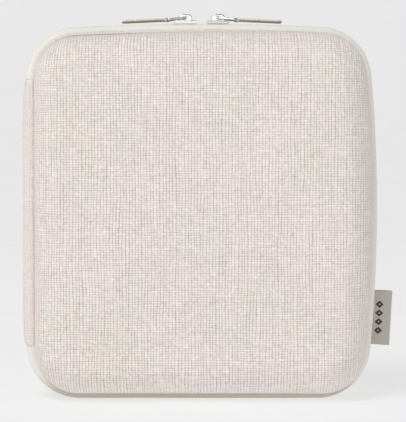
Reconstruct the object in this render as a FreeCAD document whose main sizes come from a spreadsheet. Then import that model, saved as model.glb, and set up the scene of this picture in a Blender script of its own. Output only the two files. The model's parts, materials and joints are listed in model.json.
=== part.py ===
import FreeCAD, Part
import math
import os
import Sketcher
from FreeCAD import Placement, Rotation, Vector

# A moulded zip case that stands upright.  X runs to its right, Z up, and its front
# faces -Y.  The zip line is the plane y = 0 and the case stands on z = 0.  Sizes are mm.

doc = FreeCAD.newDocument("zip_case")

DIMENSIONS = {
    # outline of the case over its bindings
    "case_width": 165.0,
    "case_height": 176.0,
    "corner_radius": 25.0,
    "top_bow_radius": 1200.0,
    "right_bow_radius": 700.0,
    # the two moulded halves
    "rim_plane": 5.5,
    "shell_depth": 23.5,
    "wall_inset": 4.0,
    "draft": 4.0,
    "edge_radius": 13.0,
    "cover_thickness": 0.8,
    "core_thickness": 3.6,
    "lining_thickness": 0.8,
    # bindings over the outer and inner edges of each rim
    "binding_start": 5.6,
    "binding_width": 4.6,
    "binding_crown": 2.6,
    "binding_lip": 0.6,
    "ribbon_thickness": 0.8,
    "ribbon_depth": 7.0,
    "facing_thickness": 0.5,
    # zip
    "tape_start": 0.6,
    "tape_end": 8.0,
    "tape_inset": 1.7,
    "tape_thickness": 0.6,
    "coil_start": 0.5,
    "coil_width": 2.7,
    "coil_inset": 0.3,
    "coil_round": 0.6,
    # fabric spine that joins the halves
    "spine_bottom": 25.0,
    "spine_top": 150.0,
    "spine_outside": 84.5,
    "spine_thickness": 3.5,
    "spine_lining_thickness": 0.8,
    "spine_half_width": 5.35,
    "spine_round": 1.5,
    "zip_end_gap": 0.3,
    # zip sliders
    "slider_nose": 2.5,
    "slider_length": 10.4,
    "slider_nose_width": 9.0,
    "slider_tail_width": 6.6,
    "slider_clearance": 0.3,
    "slider_top_thickness": 1.6,
    "slider_bottom_inset": 2.7,
    "slider_bottom_thickness": 1.0,
    "slider_edge": 0.4,
    "post_start": 3.4,
    "post_length": 3.0,
    "post_width": 0.7,
    "cap_centre": 7.8,
    "cap_length": 6.6,
    "cap_width": 2.4,
    "cap_height": 3.1,
    "cap_wall": 0.8,
    "cap_shoulder": 2.0,
    "cap_edge": 0.6,
    "cap_eye": 2.8,
    "cap_eye_corner": 0.4,
    "spring_thickness": 0.25,
    # pull links and tabs
    "link_wire": 1.2,
    "link_length": 8.3,
    "link_inner_width": 4.2,
    "link_outer_width": 6.8,
    "link_rise": 3.15,
    "link_fall": 5.88,
    "tab_length": 21.6,
    "tab_width": 6.8,
    "tab_neck_width": 5.0,
    "tab_neck_length": 2.0,
    "tab_thickness": 1.4,
    "tab_eye_radius": 1.3,
    "tab_eye_hole": 0.78,
    "tab_corner": 1.6,
    "tab_fall": 2.6,
    # woven label in the right-hand seam
    "label_root": 77.55,
    "label_length": 13.3,
    "label_height": 26.0,
    "label_bottom": 23.8,
    "label_thickness": 1.1,
    "label_droop": 3.2,
    # mesh pocket in the front half
    "pocket_top": 100.0,
    "net_plane": 8.0,
    "net_thickness": 0.6,
    "elastic_height": 7.0,
    "elastic_plane": 7.5,
    "elastic_thickness": 1.6,
    "seam_tape_width": 6.0,
    "seam_tape_thickness": 0.8,
    # elastic band on the floor of the back half
    "band_height": 25.0,
    "band_middle": 88.0,
    "band_half_length": 60.0,
    "band_thickness": 1.0,
    "patch_length": 16.0,
    "patch_height": 33.0,
    "patch_thickness": 0.8,
}

dims = doc.addObject("Spreadsheet::Sheet", "Dims")
for row, (name, value) in enumerate(DIMENSIONS.items(), start=1):
    dims.set(f"A{row}", name)
    dims.set(f"B{row}", str(value))
    dims.setAlias(f"B{row}", name)
doc.recompute()

D = DIMENSIONS
FRONT = 1
BACK = -1
HALVES = (("front", FRONT), ("back", BACK))
SIDES = (("right", 1), ("left", -1))
Constraint = Sketcher.Constraint

COVER_INSET = "Dims.wall_inset"
CORE_DEPTH = "Dims.cover_thickness"
LINING_DEPTH = "(Dims.cover_thickness + Dims.core_thickness)"
CAVITY_DEPTH = "(Dims.cover_thickness + Dims.core_thickness + Dims.lining_thickness)"
CASE_TOP = "Dims.case_height"


def new_body(label):
    body = doc.addObject("PartDesign::Body", label)
    body.Label = label
    return body


def sketch_on(body, name, plane_role, offset="0"):
    """A sketch on one of the body's own origin planes, moved along its normal."""
    plane = [item for item in body.Origin.OriginFeatures if item.Role == plane_role][0]
    sketch = body.newObject("Sketcher::SketchObject", name)
    sketch.AttachmentSupport = [(plane, "")]
    sketch.MapMode = "FlatFace"
    sketch.setExpression("AttachmentOffset.Base.z", offset)
    return sketch


def bind(sketch, constraint, expression):
    index = sketch.addConstraint(constraint)
    sketch.setExpression(f"Constraints[{index}]", expression)


def join_loop(sketch, lines, arcs):
    """Lines joined end to end through tangent corner arcs of one radius."""
    for index in range(4):
        sketch.addConstraint(Constraint("Tangent", lines[index], 2, arcs[index], 1))
        sketch.addConstraint(Constraint("Tangent", arcs[index], 2, lines[(index + 1) % 4], 1))
        direction = "Horizontal" if index % 2 == 0 else "Vertical"
        sketch.addConstraint(Constraint(direction, lines[index]))
        if index > 0:
            sketch.addConstraint(Constraint("Equal", arcs[0], arcs[index]))


def rounded_rectangle(sketch, left, right, low, high, radius, start):
    """A rectangle with equal corner arcs; each edge is bound to its own expression."""
    x0, x1, y0, y1, r = start
    corners = (
        (Vector(x0 + r, y0, 0), Vector(x1 - r, y0, 0)),
        (Vector(x1, y0 + r, 0), Vector(x1, y1 - r, 0)),
        (Vector(x1 - r, y1, 0), Vector(x0 + r, y1, 0)),
        (Vector(x0, y1 - r, 0), Vector(x0, y0 + r, 0)),
    )
    centres = ((x1 - r, y0 + r, -90), (x1 - r, y1 - r, 0), (x0 + r, y1 - r, 90), (x0 + r, y0 + r, 180))
    lines = [sketch.addGeometry(Part.LineSegment(first, last)) for first, last in corners]
    arcs = []
    for x, y, angle in centres:
        circle = Part.Circle(Vector(x, y, 0), Vector(0, 0, 1), r)
        arc = Part.ArcOfCircle(circle, math.radians(angle), math.radians(angle + 90))
        arcs.append(sketch.addGeometry(arc))
    join_loop(sketch, lines, arcs)
    bind(sketch, Constraint("Radius", arcs[0], r), radius)
    bind(sketch, Constraint("DistanceX", -1, 1, lines[1], 1, x1), right)
    bind(sketch, Constraint("DistanceX", -1, 1, lines[3], 1, x0), left)
    bind(sketch, Constraint("DistanceY", -1, 1, lines[0], 1, y0), low)
    bind(sketch, Constraint("DistanceY", -1, 1, lines[2], 1, y1), high)


def arc_between(centre, radius, first, last):
    """An arc about centre, turning from the direction of first to that of last."""
    start = math.atan2(first.y - centre.y, first.x - centre.x)
    end = math.atan2(last.y - centre.y, last.x - centre.x)
    return Part.ArcOfCircle(Part.Circle(centre, Vector(0, 0, 1), radius), start, end)


def outline_centres():
    """Centres of the two bowed edges and of the four corners of the case."""
    half_width = D["case_width"] / 2
    radius = D["corner_radius"]
    right = Vector(half_width - D["right_bow_radius"], D["case_height"] / 2, 0)
    top = Vector(0, D["case_height"] - D["top_bow_radius"], 0)
    right_reach = D["right_bow_radius"] - radius
    top_reach = D["top_bow_radius"] - radius
    low_right = Vector(right.x + math.sqrt(right_reach**2 - (right.y - radius) ** 2), radius, 0)
    high_left = Vector(radius - half_width, 0, 0)
    high_left.y = top.y + math.sqrt(top_reach**2 - high_left.x**2)
    span = (right - top).Length
    along = (top_reach**2 - right_reach**2 + span**2) / (2 * span)
    across = math.sqrt(top_reach**2 - along**2)
    unit = (right - top).normalize()
    high_right = top + unit * along + Vector(-unit.y, unit.x, 0) * across
    if high_right.x < 0:
        high_right = top + unit * along - Vector(-unit.y, unit.x, 0) * across
    low_left = Vector(radius - half_width, radius, 0)
    return right, top, (low_right, high_right, high_left, low_left)


def toward(centre, through, radius):
    """The point at this radius from centre, in the direction of through."""
    return centre + (through - centre).normalize() * radius


def case_outline(sketch, inset):
    """The case outline drawn in by inset: straight foot and spine, bowed top and right."""
    right, top, corners = outline_centres()
    radius = D["corner_radius"]
    low_right, high_right, high_left, low_left = corners
    foot_left = low_left - Vector(0, radius, 0)
    foot_right = low_right - Vector(0, radius, 0)
    right_low = toward(right, low_right, D["right_bow_radius"])
    right_high = toward(right, high_right, D["right_bow_radius"])
    top_right = toward(top, high_right, D["top_bow_radius"])
    top_left = toward(top, high_left, D["top_bow_radius"])
    spine_high = high_left - Vector(radius, 0, 0)
    spine_low = low_left - Vector(radius, 0, 0)
    edges = (
        Part.LineSegment(foot_left, foot_right),
        arc_between(low_right, radius, foot_right, right_low),
        arc_between(right, D["right_bow_radius"], right_low, right_high),
        arc_between(high_right, radius, right_high, top_right),
        arc_between(top, D["top_bow_radius"], top_right, top_left),
        arc_between(high_left, radius, top_left, spine_high),
        Part.LineSegment(spine_high, spine_low),
        arc_between(low_left, radius, spine_low, foot_left),
    )
    run = [sketch.addGeometry(edge) for edge in edges]
    for index in range(len(run)):
        sketch.addConstraint(Constraint("Tangent", run[index], 2, run[(index + 1) % len(run)], 1))
    foot, bow_right, bow_top, spine = run[0], run[2], run[4], run[6]
    sketch.addConstraint(Constraint("Horizontal", foot))
    sketch.addConstraint(Constraint("Vertical", spine))
    for corner in (run[3], run[5], run[7]):
        sketch.addConstraint(Constraint("Equal", run[1], corner))
    sketch.addConstraint(Constraint("PointOnObject", bow_top, 3, -2))
    half_width = "Dims.case_width / 2"
    bind(sketch, Constraint("Radius", run[1], radius), f"Dims.corner_radius - {inset}")
    bind(
        sketch,
        Constraint("Radius", bow_right, D["right_bow_radius"]),
        f"Dims.right_bow_radius - {inset}",
    )
    bind(sketch, Constraint("Radius", bow_top, D["top_bow_radius"]), f"Dims.top_bow_radius - {inset}")
    bind(
        sketch,
        Constraint("DistanceX", -1, 1, bow_right, 3, right.x),
        f"{half_width} - Dims.right_bow_radius",
    )
    bind(sketch, Constraint("DistanceY", -1, 1, bow_right, 3, right.y), "Dims.case_height / 2")
    bind(
        sketch,
        Constraint("DistanceY", -1, 1, bow_top, 3, top.y),
        "Dims.case_height - Dims.top_bow_radius",
    )
    bind(sketch, Constraint("DistanceY", -1, 1, foot, 1, 0), inset)
    spine_x = -D["case_width"] / 2
    bind(sketch, Constraint("DistanceX", -1, 1, spine, 1, spine_x), f"-{half_width} + {inset}")


def rectangle(sketch, left, right, low, high, start):
    """A plain rectangle; each edge is bound to its own expression."""
    x0, x1, y0, y1 = start
    points = [Vector(x0, y0, 0), Vector(x1, y0, 0), Vector(x1, y1, 0), Vector(x0, y1, 0)]
    lines = []
    for index in range(4):
        segment = Part.LineSegment(points[index], points[(index + 1) % 4])
        lines.append(sketch.addGeometry(segment))
    for index in range(4):
        sketch.addConstraint(Constraint("Coincident", lines[index], 2, lines[(index + 1) % 4], 1))
        direction = "Horizontal" if index % 2 == 0 else "Vertical"
        sketch.addConstraint(Constraint(direction, lines[index]))
    bind(sketch, Constraint("DistanceX", -1, 1, lines[1], 1, x1), right)
    bind(sketch, Constraint("DistanceX", -1, 1, lines[3], 1, x0), left)
    bind(sketch, Constraint("DistanceY", -1, 1, lines[0], 1, y0), low)
    bind(sketch, Constraint("DistanceY", -1, 1, lines[2], 1, y1), high)


def half_sketch(body, name, half, distance):
    """A sketch square to Y, at this distance from the zip line on one half's side."""
    sign = "" if half == FRONT else "-"
    return sketch_on(body, name, "XZ_Plane", f"{sign}({distance})")


def pad(body, sketch, length, name="Pad", away=True, taper=None):
    feature = body.newObject("PartDesign::Pad", name)
    feature.Profile = sketch
    feature.Reversed = not away
    feature.setExpression("Length", length)
    if taper:
        feature.setExpression("TaperAngle", taper)
    body.Tip = feature
    return feature


def pad_both_ways(body, sketch, width, name="Pad"):
    feature = body.newObject("PartDesign::Pad", name)
    feature.Profile = sketch
    feature.Midplane = True
    feature.setExpression("Length", width)
    body.Tip = feature
    return feature


def pocket(body, sketch, depth, name="Pocket", along=True, taper=None):
    """Cut along the sketch normal when along is true, against it when not."""
    feature = body.newObject("PartDesign::Pocket", name)
    feature.Profile = sketch
    feature.Reversed = along
    feature.setExpression("Length", depth)
    if taper:
        feature.setExpression("TaperAngle", taper)
    body.Tip = feature
    return feature


def cut_both_ways(body, sketch, width, name="Cut"):
    feature = body.newObject("PartDesign::Pocket", name)
    feature.Profile = sketch
    feature.Midplane = True
    feature.setExpression("Length", width)
    body.Tip = feature
    return feature


def edges_where(feature, test):
    names = []
    for index, edge in enumerate(feature.Shape.Edges, start=1):
        if test(edge.BoundBox):
            names.append(f"Edge{index}")
    return names


def in_plane(axis, value):
    """A test for edges that lie wholly in the plane axis = value."""
    def test(box):
        low = getattr(box, axis + "Min")
        high = getattr(box, axis + "Max")
        return abs(low - value) < 1e-4 and abs(high - value) < 1e-4
    return test


def fillet(body, base, radius, test, name="Round"):
    doc.recompute()
    feature = body.newObject("PartDesign::Fillet", name)
    feature.Base = (base, edges_where(base, test))
    feature.setExpression("Radius", radius)
    body.Tip = feature
    doc.recompute()
    return feature


def fillet_outer_loop(body, base, radius, y, name):
    """Round only the outermost loop of edges on the flat face at this y."""
    doc.recompute()
    faces = [face for face in base.Shape.Faces if in_plane("Y", y)(face.BoundBox)]
    loop = faces[0].OuterWire.Edges
    names = []
    for index, edge in enumerate(base.Shape.Edges, start=1):
        if any(edge.isSame(item) for item in loop):
            names.append(f"Edge{index}")
    feature = body.newObject("PartDesign::Fillet", name)
    feature.Base = (base, names)
    feature.setExpression("Radius", radius)
    body.Tip = feature
    doc.recompute()
    return feature


def cut(label, base, tool):
    feature = doc.addObject("Part::Cut", label)
    feature.Base = base
    feature.Tool = tool
    feature.Label = label
    return feature


# ---------------------------------------------------------------- moulded halves

def tray_form(label, half, depth, depth_value):
    """A drafted solid with a rounded face, set in from the outside of the cover by depth."""
    body = new_body(label)
    sketch = half_sketch(body, label + "_outline", half, "Dims.rim_plane")
    case_outline(sketch, f"({COVER_INSET} + {depth} / cos(Dims.draft))")
    solid = pad(
        body,
        sketch,
        f"Dims.shell_depth - {depth}",
        name=label + "_pad",
        away=half == FRONT,
        taper="-Dims.draft",
    )
    face = -half * (D["rim_plane"] + D["shell_depth"] - depth_value)
    fillet(body, solid, f"Dims.edge_radius - {depth}", in_plane("Y", face), label + "_round")
    return body


def moulded_half(name, half):
    """The fabric cover, stiff foam core and lining of one half, nested in each other."""
    core_depth = D["cover_thickness"]
    lining_depth = core_depth + D["core_thickness"]
    cavity_depth = lining_depth + D["lining_thickness"]
    outside = tray_form(name + "_cover_form", half, "0", 0.0)
    core = tray_form(name + "_core_form", half, CORE_DEPTH, core_depth)
    lining = tray_form(name + "_lining_form", half, LINING_DEPTH, lining_depth)
    cavity = tray_form(name + "_cavity_form", half, CAVITY_DEPTH, cavity_depth)
    cut(name + "_cover", outside, core)
    cut(name + "_shell", core, lining)
    cut(name + "_lining", lining, cavity)
    return outside


def ring(label, half, start, length, outer, inner):
    """A straight band that follows the case outline between two insets."""
    body = new_body(label)
    outline = half_sketch(body, label + "_outside", half, start)
    case_outline(outline, outer)
    band = pad(body, outline, length, name=label + "_pad", away=half == FRONT)
    opening = half_sketch(body, label + "_inside", half, start)
    case_outline(opening, inner)
    opened = pocket(body, opening, length, name=label + "_opening", along=half == FRONT)
    doc.recompute()
    return body, band, opened


def clear_of_spine(body, label):
    """Take away the stretch of zip that the spine stands in."""
    sketch = sketch_on(body, label + "_gap", "XZ_Plane")
    rectangle(
        sketch,
        left="-Dims.case_width / 2 - 5",
        right="-Dims.case_width / 2 + 8",
        low="Dims.spine_bottom - Dims.zip_end_gap",
        high="Dims.spine_top + Dims.zip_end_gap",
        start=(-90.0, -74.0, 25.0, 150.0),
    )
    cut_both_ways(body, sketch, "30", name=label + "_spine_gap")


def zip_half(name, half):
    """The tape of one side of the zip and the coil sewn to it."""
    label = name + "_zip_tape"
    tape, _, _ = ring(
        label,
        half,
        "Dims.tape_start",
        "Dims.tape_end - Dims.tape_start",
        "Dims.tape_inset",
        "(Dims.tape_inset + Dims.tape_thickness)",
    )
    clear_of_spine(tape, label)
    label = name + "_zip_coil"
    coil, _, opened = ring(
        label,
        half,
        "Dims.coil_start",
        "Dims.coil_width",
        "Dims.coil_inset",
        "Dims.tape_inset",
    )
    far = -half * (D["coil_start"] + D["coil_width"])
    fillet_outer_loop(coil, opened, "Dims.coil_round", far, label + "_round")
    clear_of_spine(coil, label)
    return tape


def outer_binding(name, half, cover_form, tape):
    """The rounded ribbon over the outside of the rim, slotted for the zip tape."""
    label = name + "_binding_blank"
    body = new_body(label)
    sketch = half_sketch(body, label + "_outline", half, "Dims.binding_start")
    case_outline(sketch, "0")
    blank = pad(body, sketch, "Dims.binding_width", name=label + "_pad", away=half == FRONT)
    far = -half * (D["binding_start"] + D["binding_width"])
    near = -half * D["binding_start"]
    crowned = fillet(body, blank, "Dims.binding_crown", in_plane("Y", far), label + "_crown")
    fillet(body, crowned, "Dims.binding_lip", in_plane("Y", near), label + "_lip")
    fitted = cut(name + "_binding_fitted", body, cover_form)
    cut(name + "_binding", fitted, tape)


def inner_binding(name, half):
    """The ribbon that faces the rim and laps down inside the lining."""
    label = name + "_inner_binding"
    body = new_body(label)
    lip = half_sketch(body, label + "_rim", half, "Dims.rim_plane - Dims.facing_thickness")
    case_outline(lip, COVER_INSET)
    pad(body, lip, "Dims.facing_thickness", name=label + "_facing", away=half == FRONT)
    lining_face = f"({COVER_INSET} + {CAVITY_DEPTH} / cos(Dims.draft))"
    skirt = half_sketch(body, label + "_skirt", half, "Dims.rim_plane")
    case_outline(skirt, lining_face)
    pad(
        body,
        skirt,
        "Dims.ribbon_depth",
        name=label + "_lap",
        away=half == FRONT,
        taper="-Dims.draft",
    )
    opening = half_sketch(body, label + "_opening", half, "Dims.rim_plane - Dims.facing_thickness")
    case_outline(opening, f"({lining_face} + Dims.ribbon_thickness)")
    pocket(
        body,
        opening,
        "Dims.ribbon_depth + Dims.facing_thickness",
        name=label + "_mouth",
        along=half == FRONT,
        taper="-Dims.draft",
    )
    return body


tapes = {}
ribbons = {}
for half_name, half_sign in HALVES:
    form = moulded_half(half_name, half_sign)
    tapes[half_name] = zip_half(half_name, half_sign)
    outer_binding(half_name, half_sign, form, tapes[half_name])
    ribbons[half_name] = inner_binding(half_name, half_sign)


# ---------------------------------------------------------------- spine

def spine_strip(label, outside, thickness, rounded):
    """An upright strip across the gap between the halves, on the hinge side."""
    body = new_body(label)
    sketch = sketch_on(body, label + "_face", "YZ_Plane", f"-({outside})")
    rounded_rectangle(
        sketch,
        left="-Dims.spine_half_width",
        right="Dims.binding_start" if rounded else "Dims.spine_half_width",
        low="Dims.spine_bottom",
        high="Dims.spine_top",
        radius="Dims.spine_round",
        start=(-5.0, 5.0, 30.0, 140.0, 1.0),
    )
    strip = pad(body, sketch, thickness, name=label + "_pad")
    if rounded:
        fillet(body, strip, "Dims.spine_round", in_plane("X", -D["spine_outside"]), label + "_edge")


spine_strip("spine_panel", "Dims.spine_outside", "Dims.spine_thickness", True)
spine_strip(
    "spine_lining",
    "(Dims.spine_outside - Dims.spine_thickness)",
    "Dims.spine_lining_thickness",
    False,
)


# ---------------------------------------------------------------- sliders

def slider_plate(body, label, side, low, thickness):
    """A plate that narrows from the nose of the slider to its tail."""
    sketch = sketch_on(body, label, "XY_Plane", low)
    nose = D["slider_nose"] * side
    tail = (D["slider_nose"] + D["slider_length"]) * side
    points = [Vector(nose, -4, 0), Vector(nose, 4, 0), Vector(tail, 3, 0), Vector(tail, -3, 0)]
    lines = []
    for index in range(4):
        segment = Part.LineSegment(points[index], points[(index + 1) % 4])
        lines.append(sketch.addGeometry(segment))
    for index in range(4):
        sketch.addConstraint(Constraint("Coincident", lines[index], 2, lines[(index + 1) % 4], 1))
    sketch.addConstraint(Constraint("Vertical", lines[0]))
    sketch.addConstraint(Constraint("Vertical", lines[2]))
    sign = "" if side > 0 else "-"
    end = f"{sign}(Dims.slider_nose + Dims.slider_length)"
    bind(sketch, Constraint("DistanceX", -1, 1, lines[0], 1, nose), f"{sign}Dims.slider_nose")
    bind(sketch, Constraint("DistanceX", -1, 1, lines[2], 1, tail), end)
    bind(sketch, Constraint("DistanceY", -1, 1, lines[0], 1, -4), "-Dims.slider_nose_width / 2")
    bind(sketch, Constraint("DistanceY", -1, 1, lines[0], 2, 4), "Dims.slider_nose_width / 2")
    bind(sketch, Constraint("DistanceY", -1, 1, lines[2], 1, 3), "Dims.slider_tail_width / 2")
    bind(sketch, Constraint("DistanceY", -1, 1, lines[2], 2, -3), "-Dims.slider_tail_width / 2")
    return pad(body, sketch, thickness, name=label + "_pad")


def slider_body(label, side):
    """Upper and lower plates joined by the wedge post at the nose."""
    body = new_body(label)
    low = f"{CASE_TOP} - Dims.slider_bottom_inset - Dims.slider_bottom_thickness"
    slider_plate(body, label + "_lower", side, low, "Dims.slider_bottom_thickness")
    sign = "" if side > 0 else "-"
    near = f"{sign}Dims.post_start"
    far = f"{sign}(Dims.post_start + Dims.post_length)"
    sketch = sketch_on(body, label + "_post", "XY_Plane", f"{CASE_TOP} - Dims.slider_bottom_inset")
    rectangle(
        sketch,
        left=near if side > 0 else far,
        right=far if side > 0 else near,
        low="-Dims.post_width / 2",
        high="Dims.post_width / 2",
        start=(3.0, 6.0, -0.4, 0.4) if side > 0 else (-6.0, -3.0, -0.4, 0.4),
    )
    pad(body, sketch, "Dims.slider_bottom_inset + Dims.slider_clearance", name=label + "_post_pad")
    top = slider_plate(
        body,
        label + "_upper",
        side,
        f"{CASE_TOP} + Dims.slider_clearance",
        "Dims.slider_top_thickness",
    )
    upper_face = D["case_height"] + D["slider_clearance"] + D["slider_top_thickness"]
    fillet(body, top, "Dims.slider_edge", in_plane("Z", upper_face), label + "_edge")


def slider_cap(label, side):
    """The arch on top of the slider that the pull link passes through."""
    body = new_body(label)
    base = f"({CASE_TOP} + Dims.slider_clearance + Dims.slider_top_thickness)"
    centre = "Dims.cap_centre" if side > 0 else "-Dims.cap_centre"
    middle = D["cap_centre"] * side
    foot = D["case_height"] + D["slider_clearance"] + D["slider_top_thickness"]
    sketch = sketch_on(body, label + "_profile", "XZ_Plane")
    rectangle(
        sketch,
        left=f"{centre} - Dims.cap_length / 2",
        right=f"{centre} + Dims.cap_length / 2",
        low=base,
        high=f"{base} + Dims.cap_height",
        start=(middle - 2, middle + 2, foot, foot + 2),
    )
    arch = pad_both_ways(body, sketch, "Dims.cap_width", name=label + "_arch")
    top = foot + D["cap_height"]

    def crown_ends(box):
        flat = abs(box.ZMin - top) < 1e-4 and abs(box.ZMax - top) < 1e-4
        return flat and abs(box.XMax - box.XMin) < 1e-4

    shouldered = fillet(body, arch, "Dims.cap_shoulder", crown_ends, label + "_shoulders")

    def side_edges(box):
        at_side = abs(abs(box.YMin) - D["cap_width"] / 2) < 1e-4
        return at_side and abs(box.YMax - box.YMin) < 1e-4 and box.ZMax > foot + 0.1

    fillet(body, shouldered, "Dims.cap_edge", side_edges, label + "_soft_edges")
    eye = sketch_on(body, label + "_eye", "XZ_Plane")
    rounded_rectangle(
        eye,
        left=f"{centre} - Dims.cap_eye / 2",
        right=f"{centre} + Dims.cap_eye / 2",
        low=f"{base} - 1.5",
        high=f"{base} + Dims.cap_height - Dims.cap_wall",
        radius="Dims.cap_eye_corner",
        start=(middle - 1.4, middle + 1.4, foot - 1.5, foot + 2, 0.4),
    )
    cut_both_ways(body, eye, "Dims.cap_width + 2", name=label + "_opening")


def lock_spring(label, side):
    """The thin leaf spring that lies under the roof of the cap."""
    body = new_body(label)
    centre = "Dims.cap_centre" if side > 0 else "-Dims.cap_centre"
    middle = D["cap_centre"] * side
    roof = f"({CASE_TOP} + Dims.slider_clearance + Dims.slider_top_thickness"
    roof += " + Dims.cap_height - Dims.cap_wall)"
    sketch = sketch_on(body, label + "_plan", "XY_Plane", f"{roof} - Dims.spring_thickness")
    rectangle(
        sketch,
        left=f"{centre} - 1",
        right=f"{centre} + 1",
        low="-Dims.cap_width / 2 + 0.5",
        high="Dims.cap_width / 2 - 0.5",
        start=(middle - 1, middle + 1, -0.6, 0.6),
    )
    pad(body, sketch, "Dims.spring_thickness", name=label + "_leaf")


# ---------------------------------------------------------------- pulls

def place(body, x, z, turn, side):
    """Stand a pull piece at its pivot, tipped down and facing its own side."""
    body.Placement = Placement(Vector(0, 0, 0), Rotation(Vector(0, 1, 0), 1))
    body.setExpression("Placement.Base.x", x)
    body.setExpression("Placement.Base.z", z)
    if side > 0:
        body.setExpression("Placement.Rotation.Angle", turn)
        body.setExpression("Placement.Rotation.Axis.y", "1")
    else:
        body.setExpression("Placement.Rotation.Angle", turn)
        body.setExpression("Placement.Rotation.Axis.y", "-1")


def pull_link(label, side):
    """A wire loop: a short bar in the cap, two arms and a longer bar for the tab."""
    body = new_body(label)
    path = sketch_on(body, label + "_path", "XY_Plane")
    inner = D["link_inner_width"] / 2
    outer = D["link_outer_width"] / 2
    end = D["link_length"] * side
    corners = (
        Vector(0, 0, 0),
        Vector(0, -inner, 0),
        Vector(end, -outer, 0),
        Vector(end, outer, 0),
        Vector(0, inner, 0),
    )
    count = len(corners)
    lines = []
    for index in range(count):
        segment = Part.LineSegment(corners[index], corners[(index + 1) % count])
        lines.append(path.addGeometry(segment))
    for index in range(count):
        path.addConstraint(Constraint("Coincident", lines[index], 2, lines[(index + 1) % count], 1))
    path.addConstraint(Constraint("Coincident", lines[0], 1, -1, 1))
    path.addConstraint(Constraint("Vertical", lines[0]))
    path.addConstraint(Constraint("Vertical", lines[2]))
    path.addConstraint(Constraint("Vertical", lines[4]))
    reach = "Dims.link_length" if side > 0 else "-Dims.link_length"
    bind(path, Constraint("DistanceX", -1, 1, lines[2], 1, end), reach)
    bind(path, Constraint("DistanceY", -1, 1, lines[1], 1, -inner), "-Dims.link_inner_width / 2")
    bind(path, Constraint("DistanceY", -1, 1, lines[4], 1, inner), "Dims.link_inner_width / 2")
    bind(path, Constraint("DistanceY", -1, 1, lines[2], 1, -outer), "-Dims.link_outer_width / 2")
    bind(path, Constraint("DistanceY", -1, 1, lines[2], 2, outer), "Dims.link_outer_width / 2")
    section = sketch_on(body, label + "_wire", "XZ_Plane")
    circle = section.addGeometry(Part.Circle(Vector(0, 0, 0), Vector(0, 0, 1), 0.6))
    section.addConstraint(Constraint("Coincident", circle, 3, -1, 1))
    bind(section, Constraint("Diameter", circle, 1.2), "Dims.link_wire")
    doc.recompute()
    sweep = body.newObject("PartDesign::AdditivePipe", label + "_loop")
    sweep.Profile = section
    sweep.Spine = (path, [f"Edge{index}" for index in range(1, count + 1)])
    sweep.Transition = "Round corner"
    body.Tip = sweep
    x = "Dims.cap_centre" if side > 0 else "-Dims.cap_centre"
    place(body, x, f"{CASE_TOP} + Dims.link_rise", "Dims.link_fall", side)
    return body


def pull_tab(label, side):
    """A leather tab folded round the outer bar of the link."""
    body = new_body(label)
    sketch = sketch_on(body, label + "_plan", "XY_Plane", "-Dims.tab_thickness / 2")
    neck = ("0", "Dims.tab_neck_length + 3")
    blade = ("Dims.tab_neck_length", "Dims.tab_length")
    if side < 0:
        neck = tuple(f"-({item})" for item in reversed(neck))
        blade = tuple(f"-({item})" for item in reversed(blade))
    rectangle(
        sketch,
        left=neck[0],
        right=neck[1],
        low="-Dims.tab_neck_width / 2",
        high="Dims.tab_neck_width / 2",
        start=(0.0, 5.0, -2.5, 2.5) if side > 0 else (-5.0, 0.0, -2.5, 2.5),
    )
    pad(body, sketch, "Dims.tab_thickness", name=label + "_neck")
    wide = sketch_on(body, label + "_blade_plan", "XY_Plane", "-Dims.tab_thickness / 2")
    rounded_rectangle(
        wide,
        left=blade[0],
        right=blade[1],
        low="-Dims.tab_width / 2",
        high="Dims.tab_width / 2",
        radius="Dims.tab_corner",
        start=(2.0, 21.0, -3.4, 3.4, 1.2) if side > 0 else (-21.0, -2.0, -3.4, 3.4, 1.2),
    )
    pad(body, wide, "Dims.tab_thickness", name=label + "_blade")
    fold = sketch_on(body, label + "_fold", "XZ_Plane")
    circle = fold.addGeometry(Part.Circle(Vector(0, 0, 0), Vector(0, 0, 1), 1.3))
    fold.addConstraint(Constraint("Coincident", circle, 3, -1, 1))
    bind(fold, Constraint("Radius", circle, 1.3), "Dims.tab_eye_radius")
    pad_both_ways(body, fold, "Dims.tab_neck_width", name=label + "_eye")
    bore = sketch_on(body, label + "_bore", "XZ_Plane")
    hole = bore.addGeometry(Part.Circle(Vector(0, 0, 0), Vector(0, 0, 1), 0.78))
    bore.addConstraint(Constraint("Coincident", hole, 3, -1, 1))
    bind(bore, Constraint("Radius", hole, 0.78), "Dims.tab_eye_hole")
    cut_both_ways(body, bore, "Dims.tab_neck_width + 2", name=label + "_eye_hole")
    reach = "Dims.cap_centre + Dims.link_length * cos(Dims.link_fall)"
    drop = f"{CASE_TOP} + Dims.link_rise - Dims.link_length * sin(Dims.link_fall)"
    x = reach if side > 0 else f"-({reach})"
    place(body, x, drop, "Dims.tab_fall", side)
    return body


for side_name, side_sign in SIDES:
    slider_body(side_name + "_slider_body", side_sign)
    slider_cap(side_name + "_slider_cap", side_sign)
    lock_spring(side_name + "_lock_spring", side_sign)
    pull_link(side_name + "_pull_link", side_sign)
    pull_tab(side_name + "_pull_tab", side_sign)


# ---------------------------------------------------------------- label

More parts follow.
